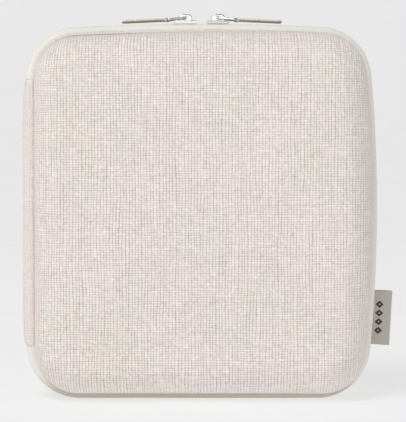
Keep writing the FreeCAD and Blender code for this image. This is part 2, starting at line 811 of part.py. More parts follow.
def side_label():
    """A folded woven label held in the seam between the back binding and the cover."""
    body = new_body("side_label")
    sketch = sketch_on(body, "side_label_face", "XZ_Plane")
    rectangle(
        sketch,
        left="0",
        right="Dims.label_length",
        low="-Dims.label_height / 2",
        high="Dims.label_height / 2",
        start=(0.0, 12.0, -12.0, 12.0),
    )
    pad(body, sketch, "Dims.label_thickness", name="side_label_pad", away=False)
    body.Placement = Placement(Vector(0, 0, 0), Rotation(Vector(0, 1, 0), 1))
    body.setExpression("Placement.Base.x", "Dims.label_root")
    body.setExpression("Placement.Base.y", "Dims.binding_start + Dims.binding_width")
    body.setExpression("Placement.Base.z", "Dims.label_bottom + Dims.label_height / 2")
    body.setExpression("Placement.Rotation.Angle", "Dims.label_droop")
    return body


side_label()


# ---------------------------------------------------------------- mesh pocket

def pocket_sheet(label, plane, thickness, top, inner=None):
    """A sheet across the lower part of the front half, cut to the inner ribbon later."""
    body = new_body(label + "_blank")
    outline = half_sketch(body, label + "_outline", FRONT, plane)
    case_outline(outline, "9.7")
    pad(body, outline, thickness, name=label + "_pad")
    if inner:
        opening = half_sketch(body, label + "_opening", FRONT, plane)
        case_outline(opening, inner)
        pocket(body, opening, thickness, name=label + "_window")
    above = half_sketch(body, label + "_above", FRONT, plane)
    rectangle(
        above,
        left="-Dims.case_width / 2",
        right="Dims.case_width / 2",
        low=top,
        high="Dims.case_height",
        start=(-80.0, 80.0, 100.0, 170.0),
    )
    pocket(body, above, thickness, name=label + "_top_edge")
    return body


def mesh_pocket():
    """A flat net sewn in along three edges, with an elastic hem along its top."""
    ribbon = ribbons["front"]
    net = pocket_sheet("mesh_pocket", "Dims.net_plane", "Dims.net_thickness", "Dims.pocket_top")
    pocket_net = cut("mesh_pocket", net, ribbon)
    low_edge = "Dims.pocket_top - Dims.elastic_height / 2"
    tape = pocket_sheet(
        "pocket_seam_tape",
        "Dims.net_plane - Dims.seam_tape_thickness",
        "Dims.seam_tape_thickness",
        low_edge,
        inner="(10 + Dims.seam_tape_width)",
    )
    cut("pocket_seam_tape", tape, ribbon)
    hem = new_body("pocket_elastic_blank")
    sketch = half_sketch(hem, "pocket_elastic_face", FRONT, "Dims.elastic_plane")
    rectangle(
        sketch,
        left="-Dims.case_width / 2 + 9.7",
        right="Dims.case_width / 2 - 9.7",
        low=low_edge,
        high="Dims.pocket_top + Dims.elastic_height / 2",
        start=(-72.0, 72.0, 96.0, 103.0),
    )
    pad(hem, sketch, "Dims.elastic_thickness", name="pocket_elastic_pad")
    fitted = cut("pocket_elastic_fitted", hem, ribbon)
    cut("pocket_elastic", fitted, pocket_net)


mesh_pocket()


# ---------------------------------------------------------------- retaining band

def floor_strip(label, left, right, height, plane, thickness):
    """A flat strip across the floor of the back half."""
    body = new_body(label)
    add_strip(body, label + "_strip", left, right, height, plane, thickness)
    return body


def add_strip(body, name, left, right, height, plane, thickness):
    sketch = half_sketch(body, name, BACK, plane)
    middle = D["band_middle"]
    low = -58.0 if left.startswith("-") else 44.0
    rectangle(
        sketch,
        left=left,
        right=right,
        low=f"Dims.band_middle - {height} / 2",
        high=f"Dims.band_middle + {height} / 2",
        start=(low, low + 10.0, middle - 12.0, middle + 12.0),
    )
    return pad(body, sketch, thickness, name=name + "_pad", away=False)


FLOOR = f"(Dims.rim_plane + Dims.shell_depth - {CAVITY_DEPTH})"
PATCH_PLANE = f"({FLOOR} - Dims.patch_thickness)"
floor_strip(
    "retaining_band",
    "-Dims.band_half_length",
    "Dims.band_half_length",
    "Dims.band_height",
    f"({PATCH_PLANE} - Dims.band_thickness)",
    "Dims.band_thickness",
)
PATCH_IN = "(Dims.band_half_length - Dims.patch_length + 2)"
PATCH_OUT = "(Dims.band_half_length + 2)"
for side_name, side_sign in SIDES:
    floor_strip(
        side_name + "_band_patch",
        PATCH_IN if side_sign > 0 else f"-{PATCH_OUT}",
        PATCH_OUT if side_sign > 0 else f"-{PATCH_IN}",
        "Dims.patch_height",
        PATCH_PLANE,
        "Dims.patch_thickness",
    )


# ---------------------------------------------------------------- check and export

NODES = [
    "front_cover",
    "front_shell",
    "front_lining",
    "front_binding",
    "front_inner_binding",
    "front_zip_tape",
    "front_zip_coil",
    "mesh_pocket",
    "pocket_elastic",
    "pocket_seam_tape",
    "back_cover",
    "back_shell",
    "back_lining",
    "back_binding",
    "back_inner_binding",
    "back_zip_tape",
    "back_zip_coil",
    "spine_panel",
    "spine_lining",
    "side_label",
    "retaining_band",
    "right_band_patch",
    "left_band_patch",
    "right_slider_body",
    "right_slider_cap",
    "right_lock_spring",
    "right_pull_link",
    "right_pull_tab",
    "left_slider_body",
    "left_slider_cap",
    "left_lock_spring",
    "left_pull_link",
    "left_pull_tab",
]

doc.recompute()
for item in doc.Objects:
    if "Invalid" in item.State or "Error" in item.State:
        raise RuntimeError(f"{item.Label} did not recompute: {item.State}")
    if hasattr(item, "Shape") and item.TypeId.startswith(("PartDesign::", "Part::")):
        if item.Shape.isNull() or not item.Shape.isValid():
            raise RuntimeError(f"{item.Label} has no valid shape")

os.makedirs("parts", exist_ok=True)
for node in NODES:
    found = doc.getObjectsByLabel(node)
    if len(found) != 1:
        raise RuntimeError(f"{node} should name one object and names {len(found)}")
    shape = found[0].Shape
    box = shape.BoundBox
    print(node, len(shape.Solids), round(shape.Volume), box)
    shape.exportStep(f"parts/{node}.step")
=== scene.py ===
import json
import math
from itertools import product

import bmesh
import bpy
import numpy as np
from mathutils import Matrix, Vector


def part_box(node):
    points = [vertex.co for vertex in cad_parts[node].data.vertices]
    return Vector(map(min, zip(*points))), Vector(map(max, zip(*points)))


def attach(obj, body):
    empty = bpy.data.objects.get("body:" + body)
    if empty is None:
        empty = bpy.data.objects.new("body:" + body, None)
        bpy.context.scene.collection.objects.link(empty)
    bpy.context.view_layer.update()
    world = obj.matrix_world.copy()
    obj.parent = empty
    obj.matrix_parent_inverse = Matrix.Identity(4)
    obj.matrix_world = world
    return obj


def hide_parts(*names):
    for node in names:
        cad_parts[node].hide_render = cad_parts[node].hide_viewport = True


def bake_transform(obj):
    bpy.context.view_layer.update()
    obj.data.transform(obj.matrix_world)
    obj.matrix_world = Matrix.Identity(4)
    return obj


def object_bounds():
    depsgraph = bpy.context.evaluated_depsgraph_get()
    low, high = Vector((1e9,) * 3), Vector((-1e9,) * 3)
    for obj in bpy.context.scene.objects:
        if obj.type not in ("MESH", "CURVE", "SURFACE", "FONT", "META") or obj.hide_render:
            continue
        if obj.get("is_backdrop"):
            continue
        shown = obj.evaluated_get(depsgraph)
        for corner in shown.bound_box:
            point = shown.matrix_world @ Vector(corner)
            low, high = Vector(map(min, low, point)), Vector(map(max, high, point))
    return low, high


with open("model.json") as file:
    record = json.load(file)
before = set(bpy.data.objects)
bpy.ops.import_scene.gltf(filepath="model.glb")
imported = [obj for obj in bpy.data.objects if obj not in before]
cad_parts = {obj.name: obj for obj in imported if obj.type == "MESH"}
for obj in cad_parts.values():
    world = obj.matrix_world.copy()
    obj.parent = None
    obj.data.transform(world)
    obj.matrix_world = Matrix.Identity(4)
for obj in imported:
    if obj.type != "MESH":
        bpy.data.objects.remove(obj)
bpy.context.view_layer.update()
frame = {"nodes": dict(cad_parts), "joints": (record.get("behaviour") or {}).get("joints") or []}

MM = 0.001
FRONT, BACK = -1, 1
HALVES = ((FRONT, "front", "lid"), (BACK, "back", "base"))
SIDES = ((1, "right"), (-1, "left"))
TUBE = ((False, True), ("first_row", "last_row"))


def span(node):
    """Lowest and highest corner of a CAD node, in millimetres."""
    low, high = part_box(node)
    return np.array(low) / MM, np.array(high) / MM


def fit(piece, body, node=None):
    """Lets a piece ride a body, in place of a CAD node if one is named."""
    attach(piece, body)
    if node:
        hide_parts(node)
    return piece


def sample(values, run, where):
    """Rows of values, read off at other distances along their run."""
    return np.stack([np.interp(where, run, column) for column in values.T], -1)


def unit(vectors):
    """The directions of some vectors."""
    return vectors / np.linalg.norm(vectors, axis=-1, keepdims=True)


def smooth(value, low, high):
    """0 below low and 1 above high, with an even curve between."""
    share = np.clip((value - low) / (high - low), 0, 1)
    return share * share * (3 - 2 * share)


def sheet_of(rows, columns):
    """Every pair of a row value and a column value."""
    return np.stack(np.meshgrid(rows, columns, indexing="ij"), -1)


# ------------------------------------------------------------------ case outline

rim_low, rim_high = span("front_binding")
LEFT, RIGHT, TOP = rim_low[0], rim_high[0], rim_high[2]
CORNER, TOP_BOW, RIGHT_BOW = 25.0, 1200.0, 700.0
DRAFT = math.radians(4.0)
RIM, FACE = 5.5, span("back_cover")[1][1]
WALL_INSET, EDGE_RADIUS = 4.0, 13.0
COVER, CORE, LINING = 0.8, 3.6, 0.8
CENTRE = np.array([0.0, TOP / 2])


def outline_arcs():
    """The outline as lines and arcs, clockwise from the middle of the spine side."""
    right = np.array([RIGHT - RIGHT_BOW, TOP / 2])
    top = np.array([0.0, TOP - TOP_BOW])
    right_reach, top_reach = RIGHT_BOW - CORNER, TOP_BOW - CORNER
    low_right = np.array([right[0] + math.sqrt(right_reach**2 - (right[1] - CORNER) ** 2), CORNER])
    high_left = np.array([LEFT + CORNER, 0.0])
    high_left[1] = top[1] + math.sqrt(top_reach**2 - high_left[0] ** 2)
    low_left = np.array([LEFT + CORNER, CORNER])
    gap = right - top
    apart = np.hypot(*gap)
    along = (top_reach**2 - right_reach**2 + apart**2) / (2 * apart)
    across = math.sqrt(top_reach**2 - along**2)
    way = gap / apart
    choices = [top + way * along + s * across * np.array([-way[1], way[0]]) for s in (1, -1)]
    high_right = max(choices, key=lambda p: p[0])

    def angle(centre, through):
        return math.atan2(through[1] - centre[1], through[0] - centre[0])

    a_top_left, a_top_right = angle(top, high_left), angle(top, high_right)
    a_right_high, a_right_low = angle(right, high_right), angle(right, low_right)
    quarter = math.pi / 2
    return [
        ("line", np.array([LEFT, TOP / 2]), np.array([LEFT, high_left[1]])),
        ("arc", high_left, CORNER, 2 * quarter, a_top_left),
        ("arc", top, TOP_BOW, a_top_left, a_top_right),
        ("arc", high_right, CORNER, a_top_right, a_right_high),
        ("arc", right, RIGHT_BOW, a_right_high, a_right_low),
        ("arc", low_right, CORNER, a_right_low, -quarter),
        ("line", np.array([low_right[0], 0.0]), np.array([low_left[0], 0.0])),
        ("arc", low_left, CORNER, -quarter, -2 * quarter),
        ("line", np.array([LEFT, CORNER]), np.array([LEFT, TOP / 2])),
    ]


class Outline:
    """Points and outward normals of the case outline, by distance along it."""

    def __init__(self, step=0.25):
        points, normals = [], []
        for item in outline_arcs():
            if item[0] == "line":
                first, last = item[1:]
                count = max(2, int(np.hypot(*(last - first)) / step))
                share = np.arange(count)[:, None] / count
                way = unit(last - first)
                points.append(first + (last - first) * share)
                normals.append(np.tile([-way[1], way[0]], (count, 1)))
            else:
                centre, radius, start, end = item[1:]
                count = max(2, int(abs(end - start) * radius / step))
                angle = start + (end - start) * np.arange(count) / count
                arm = np.stack([np.cos(angle), np.sin(angle)], 1)
                points.append(centre + arm * radius)
                normals.append(arm)
        self.points = np.concatenate(points + [points[0][:1]])
        self.normals = np.concatenate(normals + [normals[0][:1]])
        steps = np.hypot(*np.diff(self.points, axis=0).T)
        self.distance = np.concatenate([[0.0], np.cumsum(steps)])
        self.length = self.distance[-1]

    def at(self, distance):
        """Points and unit normals at these distances."""
        where = np.asarray(distance) % self.length
        return sample(self.points, self.distance, where), unit(sample(self.normals, self.distance, where))

    def near(self, x, z):
        """The distance along the outline of the point nearest to (x, z)."""
        return self.distance[np.argmin(np.hypot(self.points[:, 0] - x, self.points[:, 1] - z))]


outline = Outline()


def upright(flat, y):
    """(x, z) points at depth y, as (x, y, z)."""
    return np.stack([flat[:, 0], np.broadcast_to(y, len(flat)), flat[:, 1]], -1)


# ------------------------------------------------------------------ mesh helpers

def lattice(points, scale, seed):
    """Smooth noise from -1 to 1, with one lattice step every scale millimetres."""
    place = np.asarray(points, float) / scale + seed * 17.31
    cell = np.floor(place).astype(np.int64)
    share = place - cell
    share = share * share * (3 - 2 * share)
    total = np.zeros(place.shape[:-1])
    primes = (73856093, 19349663, 83492791)
    for corner in product((0, 1), repeat=place.shape[-1]):
        code = np.zeros(place.shape[:-1], np.int64)
        weight = np.ones(place.shape[:-1])
        for axis, step in enumerate(corner):
            code ^= (cell[..., axis] + step) * primes[axis]
            weight = weight * (share[..., axis] if step else 1 - share[..., axis])
        code = (code ^ (code >> 13)) * 1274126177 & 0xFFFFFFFF
        code = (code ^ (code >> 16)) & 0xFFFFFF
        total += weight * code / 0xFFFFFF
    return 2 * total - 1


def put(name, data):
    """A new object in the scene."""
    made = bpy.data.objects.new(name, data)
    bpy.context.scene.collection.objects.link(made)
    return made


def make(name, points, faces, material, threads=None, solid=True, merge=0.0):
    """A mesh object from points in millimetres; threads is each face corner's place in the cloth."""
    mesh = bpy.data.meshes.new(name)
    mesh.from_pydata((np.asarray(points, float) * MM).tolist(), [], faces)
    if threads is not None:
        layer = mesh.attributes.new("thread", "FLOAT_VECTOR", "CORNER")
        flat = np.zeros((len(mesh.loops), 3), np.float32)
        flat[:, : threads.shape[1]] = threads
        layer.data.foreach_set("vector", flat.ravel())
    if solid:
        work = bmesh.new()
        work.from_mesh(mesh)
        if merge:
            bmesh.ops.remove_doubles(work, verts=work.verts, dist=merge * MM)
        bmesh.ops.recalc_face_normals(work, faces=work.faces)
        work.to_mesh(mesh)
        work.free()
    mesh.polygons.foreach_set("use_smooth", [True] * len(mesh.polygons))
    mesh.materials.append(material)
    return put(name, mesh)


CAPS = {
    "first_row": np.s_[0], "last_row": np.s_[-1],
    "first_column": np.s_[:, 0], "last_column": np.s_[:, -1],
}


def grid_faces(points, threads, wrap, caps):
    """Quads over rows and columns of points, with end faces, and the threads at each face corner."""
    rows, cols = points.shape[:2]
    row = np.arange(rows if wrap[0] else rows - 1)
    col = np.arange(cols if wrap[1] else cols - 1)
    r, c = np.meshgrid(row, col, indexing="ij")
    corners = ((r, c), (r + 1, c), (r + 1, c + 1), (r, c + 1))
    faces = np.stack([(a % rows) * cols + b % cols for a, b in corners], -1).reshape(-1, 4).tolist()
    values = [np.stack([threads[a, b] for a, b in corners], -2).reshape(-1, threads.shape[-1])]
    numbers = np.arange(rows * cols).reshape(rows, cols)
    for cap in caps:
        way = -1 if cap.startswith("first") else 1
        faces.append(numbers[CAPS[cap]][::way].tolist())
        values.append(threads[:rows, :cols][CAPS[cap]][::way])
    return faces, np.concatenate(values)


def grid(name, points, threads, material, wrap, caps=(), **options):
    """A quad mesh over rows and columns of points, with optional end faces."""
    faces, values = grid_faces(points, threads, wrap, caps)
    return make(name, points.reshape(-1, 3), faces, material, values, **options)


def lengths(profile, closed=False):
    """Distance along a profile at each point, and once more at its end if it's closed."""
    ends = np.concatenate([profile, profile[:1]]) if closed else profile
    return np.concatenate([[0.0], np.cumsum(np.linalg.norm(np.diff(ends, axis=0), axis=1))])


def refine(profile, step, closed=True, rounds=2):
    """A profile with its corners cut smooth and its points evenly spaced."""
    points = np.asarray(profile, float)
    for _ in range(rounds):
        after = np.roll(points, -1, axis=0) if closed else points[1:]
        before = points if closed else points[:-1]
        pairs = np.stack([before * 0.75 + after * 0.25, before * 0.25 + after * 0.75], 1)
        smooth = pairs.reshape(-1, 2)
        points = smooth if closed else np.concatenate([points[:1], smooth, points[-1:]])
    run = lengths(points, closed)
    ends = np.concatenate([points, points[:1]]) if closed else points
    count = max(6, int(round(run[-1] / step)))
    where = np.linspace(0, run[-1], count, endpoint=not closed)
    return sample(ends, run, where)


def swept(profile, distance, side, shift=None):
    """Points of an (inset, depth) profile along the outline, on the front or back."""
    points, normals = outline.at(distance)
    inset, depth = profile[:, 0][None, :], profile[:, 1][None, :]
    if shift is not None:
        inset = inset + shift[0]
        depth = depth + shift[1]
    x = points[:, 0, None] - normals[:, 0, None] * inset
    z = points[:, 1, None] - normals[:, 1, None] * inset
    return np.stack([x, side * np.broadcast_to(depth, x.shape), z], -1)


def band(name, profile, side, material, start=None, end=None, step=0.9, shift=None):
    """A closed profile swept round the outline, all the way or from start to end."""
    whole = start is None
    if whole:
        distance = np.linspace(0, outline.length, int(outline.length / step), endpoint=False)
        along = np.append(distance, outline.length)
    else:
        distance = np.linspace(start, end, int((end - start) / step))
        along = distance
    offset = shift(distance[:, None], profile[None, :, 0], profile[None, :, 1]) if shift else None
    points = swept(profile, distance, side, offset)
    around = lengths(profile, closed=True)
    return grid(name, points, sheet_of(along, around), material, (whole, True), () if whole else TUBE[1])


def joined(name, parts, material, threads):
    """Several tubes of points in one mesh."""
    points, faces, values, base = [], [], [], 0
    for part, places in zip(parts, threads):
        found, corners = grid_faces(part, places, *TUBE)
        faces += [[base + index for index in face] for face in found]
        values.append(corners)
        points.append(part.reshape(-1, 3))
        base += part.shape[0] * part.shape[1]
    return make(name, np.concatenate(points), faces, material, np.concatenate(values))


def tube(path, normals, radii, sides=8):
    """Rings of points round a path."""
    way = unit(np.gradient(path, axis=0))
    across = unit(np.cross(way, normals))
    up = np.cross(across, way)
    angle = np.linspace(0, 2 * math.pi, sides, endpoint=False)[None, :, None]
    ring = across[:, None] * np.cos(angle) + up[:, None] * np.sin(angle)
    return path[:, None] + ring * np.broadcast_to(radii, len(path))[:, None, None]


def tube_threads(path, radius, sides=8):
    """Distances along and round a tube, for its material."""
    return sheet_of(lengths(path), np.linspace(0, 2 * math.pi * radius, sides + 1))


def stitches(name, path, normals, material, length=2.3, gap=0.9, radius=0.17, rise=0.1):
    """A row of sewing stitches along a path; each one dips into the cloth at both ends."""
    normals = np.broadcast_to(normals, path.shape)
    run = lengths(path)
    count = int(run[-1] / (length + gap))
    pitch = run[-1] / count
    drift = np.random.default_rng(len(name)).uniform(-0.12, 0.12, (count, 2))
    off_middle = np.abs(2 * np.linspace(0, 1, 9) - 1)
    height = rise * (1 - off_middle**4) - 1.4 * radius * off_middle**6
    size = radius * np.clip(1.05 - off_middle**5 * 0.55, 0.3, 1)
    parts, places = [], []
    for index in range(count):
        start = index * pitch + gap / 2 + drift[index, 0]
        where = np.linspace(start, start + pitch - gap, 9)
        up = unit(sample(normals, run, where))
        points = sample(path, run, where) + up * height[:, None]
        parts.append(tube(points, up, size, sides=6))
        places.append(tube_threads(points, radius, sides=6) + [index * 3.7, 0])
    return joined(name, parts, material, places)


# ------------------------------------------------------------------ materials

def feed(tree, socket, value):
    """Set an input from a number, a colour or another node's output."""
    if isinstance(value, bpy.types.NodeSocket):
        tree.links.new(value, socket)
    elif isinstance(value, (tuple, list)) and len(value) == 3 and socket.type == "RGBA":
        socket.default_value = (*value, 1.0)
    else:
        socket.default_value = value


def tone(red, green, blue):
    """A screen colour from 0 to 255, as linear light."""
    values = (red / 255, green / 255, blue / 255)
    return tuple(v / 12.92 if v <= 0.04045 else ((v + 0.055) / 1.055) ** 2.4 for v in values)


class Finish:
    """A node material built with short calls."""

    def __init__(self, name, **sockets):
        self.material = bpy.data.materials.new(name)
        self.material.use_nodes = True
        self.tree = self.material.node_tree
        self.tree.nodes.clear()
        self.shader = self.tree.nodes.new("ShaderNodeBsdfPrincipled")
        output = self.tree.nodes.new("ShaderNodeOutputMaterial")
        self.tree.links.new(self.shader.outputs[0], output.inputs[0])
        for key, value in sockets.items():
            self.set(key.replace("_", " "), value)

    def set(self, socket, value):
        feed(self.tree, self.shader.inputs[socket], value)

    def node(self, kind, values=(), out=0, **settings):
        made = self.tree.nodes.new("ShaderNode" + kind)
        for key, value in settings.items():
            setattr(made, key, value)
        for key, value in dict(values).items():
            feed(self.tree, made.inputs[key], value)
        return made.outputs[out]

    def math(self, operation, *values):
        return self.node("Math", dict(enumerate(values)), operation=operation)

    def add(self, a, b):
        return self.math("ADD", a, b)

    def times(self, a, b):
        return self.math("MULTIPLY", a, b)

    def fma(self, a, b, c):
        """a times b, plus c."""
        return self.math("MULTIPLY_ADD", a, b, c)

    def ridges(self, value):
        return self.math("ABSOLUTE", self.math("SINE", value))

    def place(self):
        """The distances along the cloth in millimetres, and a third value of its own from 0 to 1."""
        vector = self.node("Attribute", attribute_name="thread", attribute_type="GEOMETRY", out=1)
        return tuple(self.node("SeparateXYZ", {0: vector}).node.outputs)

    def spot(self):
        """A point on the object in millimetres."""
        vector = self.node("TexCoord", out=3)
        return self.node("VectorMath", {0: vector, 3: 1000.0}, operation="SCALE")

    def vector(self, x=0.0, y=0.0, z=0.0):
        return self.node("CombineXYZ", {0: x, 1: y, 2: z})

    def noise(self, vector, scale=1.0, detail=1.0, rough=0.5, warp=0.0):
        names = ("Vector", "Scale", "Detail", "Roughness", "Distortion")
        return self.node("TexNoise", zip(names, (vector, scale, detail, rough, warp)))

    def streaks(self, u, across, v, along, z=0.0, *look):
        """Noise with its own scale along each direction of the threads."""
        return self.noise(self.vector(self.times(u, across), self.times(v, along), z), 1.0, *look)

    def ramp(self, value, low, high, to_low=0.0, to_high=1.0, soft=True):
        values = {0: value, 1: low, 2: high, 3: to_low, 4: to_high}
        kind = "SMOOTHSTEP" if soft else "LINEAR"
        return self.node("MapRange", values, interpolation_type=kind)

    def blend(self, factor, a, b):
        made = self.tree.nodes.new("ShaderNodeMix")
        made.data_type = "RGBA"
        for socket, value in ((0, factor), (6, a), (7, b)):
            feed(self.tree, made.inputs[socket], value)
        return made.outputs[2]

    def shade(self, colour, factor):
        """A colour made darker or lighter by a factor."""
        return self.node("VectorMath", {0: colour, 3: factor}, operation="SCALE")

    def bump(self, height, distance, strength):
        values = {"Height": height, "Distance": distance * MM, "Strength": strength}
        self.set("Normal", self.node("Bump", values))


UPRIGHT_PITCH, LEVEL_PITCH = 1.43, 1.09


def linen(name, light, warm):
    """A slubby linen: thick upright threads crossed by finer level ones."""
    f = Finish(name, Roughness=0.88, Sheen_Weight=0.16, Sheen_Roughness=0.55, Specular_IOR_Level=0.22)
    u, v, pressed = f.place()
    loose = f.fma(pressed, -1.0, 1.0)
    # the threads wander, and lie closer together in some places than in others
    sway_u = f.streaks(u, 0.05, v, 0.022, 0.0, 2.0)
    sway_v = f.streaks(u, 0.02, v, 0.06, 9.0, 2.0)
    crowd_u = f.streaks(u, 0.42, v, 0.02, 21.0, 2.0)
    crowd_v = f.streaks(u, 0.02, v, 0.45, 27.0, 2.0)
    along_x = f.fma(crowd_u, 1.3, f.fma(sway_u, 2.6, u))
    along_y = f.fma(crowd_v, 1.1, f.fma(sway_v, 2.2, v))
    x, y = f.math("DIVIDE", along_x, UPRIGHT_PITCH), f.math("DIVIDE", along_y, LEVEL_PITCH)
    column, row = f.math("FLOOR", x), f.math("FLOOR", y)
    off_x = f.math("ABSOLUTE", f.fma(f.math("FRACT", x), 2.0, -1.0))
    off_y = f.math("ABSOLUTE", f.fma(f.math("FRACT", y), 2.0, -1.0))
    # each thread is thicker and thinner along its length
    swell_x = f.streaks(column, 3.71, v, 0.16, 0.0, 2.0, 0.6)
    swell_y = f.streaks(u, 0.16, row, 5.13, 4.0, 2.0, 0.6)
    gap_x = f.ramp(off_x, f.ramp(swell_x, 0.3, 0.7, 0.38, 0.74, soft=False), 1.0)
    gap_y = f.ramp(off_y, f.ramp(swell_y, 0.3, 0.7, 0.46, 0.8, soft=False), 1.0)
    wave = f.times(f.math("SINE", f.times(x, math.pi)), f.math("SINE", f.times(y, math.pi)))
    round_x = f.math("SQRT", f.math("SUBTRACT", 1.0001, f.times(off_x, off_x)))
    round_y = f.math("SQRT", f.math("SUBTRACT", 1.0001, f.times(off_y, off_y)))
    over_x = f.times(round_x, f.fma(wave, 0.24, 0.76))
    over_y = f.times(round_y, f.fma(wave, -0.3, 0.58))
    height = f.math("SMOOTH_MAX", over_x, over_y, 0.15)
    # slubs: short thick places, most of them in the level threads
    level_v = f.fma(u, 0.05, v)
    slub_y = f.streaks(u, 0.055, level_v, 0.62, 2.0, 1.0)
    slub_x = f.streaks(u, 0.62, v, 0.03, 6.0, 1.0)
    slub = f.add(f.ramp(slub_y, 0.62, 0.74), f.times(f.ramp(slub_x, 0.6, 0.74), 0.5))
    fibre = f.streaks(u, 5.0, v, 3.0, 0.0, 2.0, 0.7)
    height = f.fma(slub, 0.35, height)
    height = f.fma(fibre, 0.25, height)
    f.bump(f.times(height, f.fma(loose, 0.7, 0.3)), 0.26, 0.75)
    # colour: painted shade in the gaps between threads, and each thread lighter or darker along its length
    patch = f.noise(f.vector(u, v, 3.0), 0.021, 2.0, 0.5)
    base = f.blend(f.ramp(patch, 0.4, 0.6), light, warm)
    dye_x = f.streaks(column, 7.31, v, 0.5, 31.0, 1.0)
    dye_y = f.streaks(u, 0.5, row, 9.17, 37.0, 1.0)
    thread = f.add(f.times(dye_x, 0.24), f.times(dye_y, 0.34))
    grain = f.streaks(u, 0.95, v, 1.1, 41.0, 1.0)
    thread = f.fma(grain, 0.26, thread)
    open_weave = f.ramp(f.streaks(u, 0.07, v, 0.05, 45.0, 2.0), 0.35, 0.65)
    line = f.fma(open_weave, -0.08, 0.37)
    dot = f.fma(open_weave, 0.12, 0.2)
    dark = f.times(gap_x, f.fma(gap_y, dot, line))
    dark = f.times(f.fma(gap_y, 0.23, dark), f.fma(loose, 0.85, 0.15))
    thread = f.times(f.math("SUBTRACT", thread, 0.42), f.fma(loose, 0.6, 0.4))
    dark = f.fma(loose, -0.07, f.add(dark, 0.07))
    bright = f.math("SUBTRACT", f.add(1.02, thread), dark)
    # slubs and fibres, which stand higher, are also painted lighter: painted highlight
    bright = f.fma(slub, 0.09, bright)
    bright = f.fma(fibre, 0.05, bright)
    f.set("Base Color", f.shade(base, bright))
    return f.material


def ribbon(name, light, dark, pitch=0.55, sheen=0.25, gain=1.0, ribs_along=False, foot=None):
    """A finely ribbed woven ribbon; foot is a darker colour painted over its lowest 15 mm, as painted shade near
    the floor.
    """
    f = Finish(name, Roughness=0.72, Sheen_Weight=sheen, Sheen_Roughness=0.45, Specular_IOR_Level=0.3)
    s, t, _ = f.place()
    along, across = (t, s) if ribs_along else (s, t)
    sway = f.streaks(s, 0.15, t, 0.3, 0.0, 1.0)
    x = f.math("DIVIDE", f.fma(sway, 0.3, along), pitch)
    rib = f.ridges(f.times(x, math.pi))
    y = f.math("DIVIDE", across, pitch * 0.7)
    knot = f.ridges(f.times(f.add(y, f.times(f.math("FLOOR", x), 0.5)), math.pi))
    fuzz = f.streaks(s, 4.0, t, 4.0, 0.0, 2.0, 0.7)
    height = f.fma(knot, 0.3, rib)
    height = f.fma(fuzz, 0.3, height)
    f.bump(height, 0.12 * gain, 0.8)
    wear = f.streaks(s, 0.03, t, 0.2, 5.0, 3.0)
    base = f.blend(f.ramp(wear, 0.35, 0.7), light, dark)
    # painted shade: the ribbon turns to the darker foot colour over its lowest 15 mm, nearest the floor
    if foot:
        height_up = f.node("SeparateXYZ", {0: f.spot()}, out=2)
        base = f.blend(f.ramp(f.fma(wear, 4.0, height_up), 1.0, 15.0), foot, base)
    # painted shade: ribs lighter on their crowns and darker in their valleys
    f.set("Base Color", f.shade(base, f.fma(height, 0.1, 0.86)))
    return f.material


def cotton(name, light, dark):
    """Twisted sewing thread."""
    f = Finish(name, Roughness=0.75, Sheen_Weight=0.3)
    s, t, _ = f.place()
    twist = f.math("SINE", f.times(f.fma(t, 1.4, s), 9.0))
    f.bump(twist, 0.06, 0.8)
    f.set("Base Color", f.blend(f.ramp(twist, -1.0, 1.0), dark, light))
    return f.material


def brushed(name, light, dark):
    """A soft brushed lining cloth with a short nap."""
    f = Finish(name, Roughness=0.95, Sheen_Weight=0.5, Sheen_Roughness=0.4, Specular_IOR_Level=0.15)
    u, v, _ = f.place()
    nap = f.streaks(u, 2.2, v, 1.6, 0.0, 4.0, 0.75, 0.6)
    press = f.noise(f.vector(u, v), 0.045, 3.0, 0.55)
    weave = f.times(f.math("SINE", f.times(u, 7.0)), f.math("SINE", f.times(v, 7.0)))
    f.bump(f.fma(weave, 0.15, nap), 0.22, 0.7)
    base = f.blend(f.ramp(press, 0.1, 0.95), light, dark)
    f.set("Base Color", f.shade(base, f.fma(nap, 0.22, 0.89)))
    return f.material


def foam(name):
    """The stiff foam of the moulded core."""
    f = Finish(name, Roughness=0.9)
    cell = f.node("TexVoronoi", {"Vector": f.spot(), "Scale": 2.4})
    f.bump(cell, 0.12, 0.6)
    f.set("Base Color", f.blend(f.ramp(cell, 0.0, 0.6), tone(120, 118, 114), tone(168, 166, 160)))
    return f.material


def nylon(name, light, dark):
    """Smooth monofilament with fine random streaks along it."""
    f = Finish(name, Roughness=0.34, Subsurface_Weight=0.1, Coat_Weight=0.25)
    s, t, _ = f.place()
    streak = f.streaks(s, 0.9, t, 6.0, 0.0, 3.0)
    f.bump(streak, 0.03, 0.5)
    f.set("Base Color", f.blend(f.ramp(streak, 0.3, 0.7), light, dark))
    f.set("Roughness", f.ramp(streak, 0.2, 0.8, 0.26, 0.46))
    return f.material


def metal(name, light, dark, rough=0.14, scratch=0.5):
    """Plated metal with fine scratches and dull patches where hands rub it."""
    f = Finish(name, Metallic=1.0)
    spot = f.spot()
    fine = f.noise(spot, 2.2, 5.0, 0.7, 0.4)
    hair = f.noise(f.node("Mapping", {"Vector": spot, "Scale": (0.6, 7.0, 7.0)}), 1.0, 3.0, 0.6)
    f.bump(f.add(f.times(fine, 0.4), hair), 0.02, scratch)
    f.set("Base Color", f.blend(f.ramp(fine, 0.35, 0.75), light, dark))
    f.set("Roughness", f.ramp(f.add(f.times(fine, 0.6), f.times(hair, 0.4)), 0.3, 0.75, rough, rough + 0.2))
    return f.material


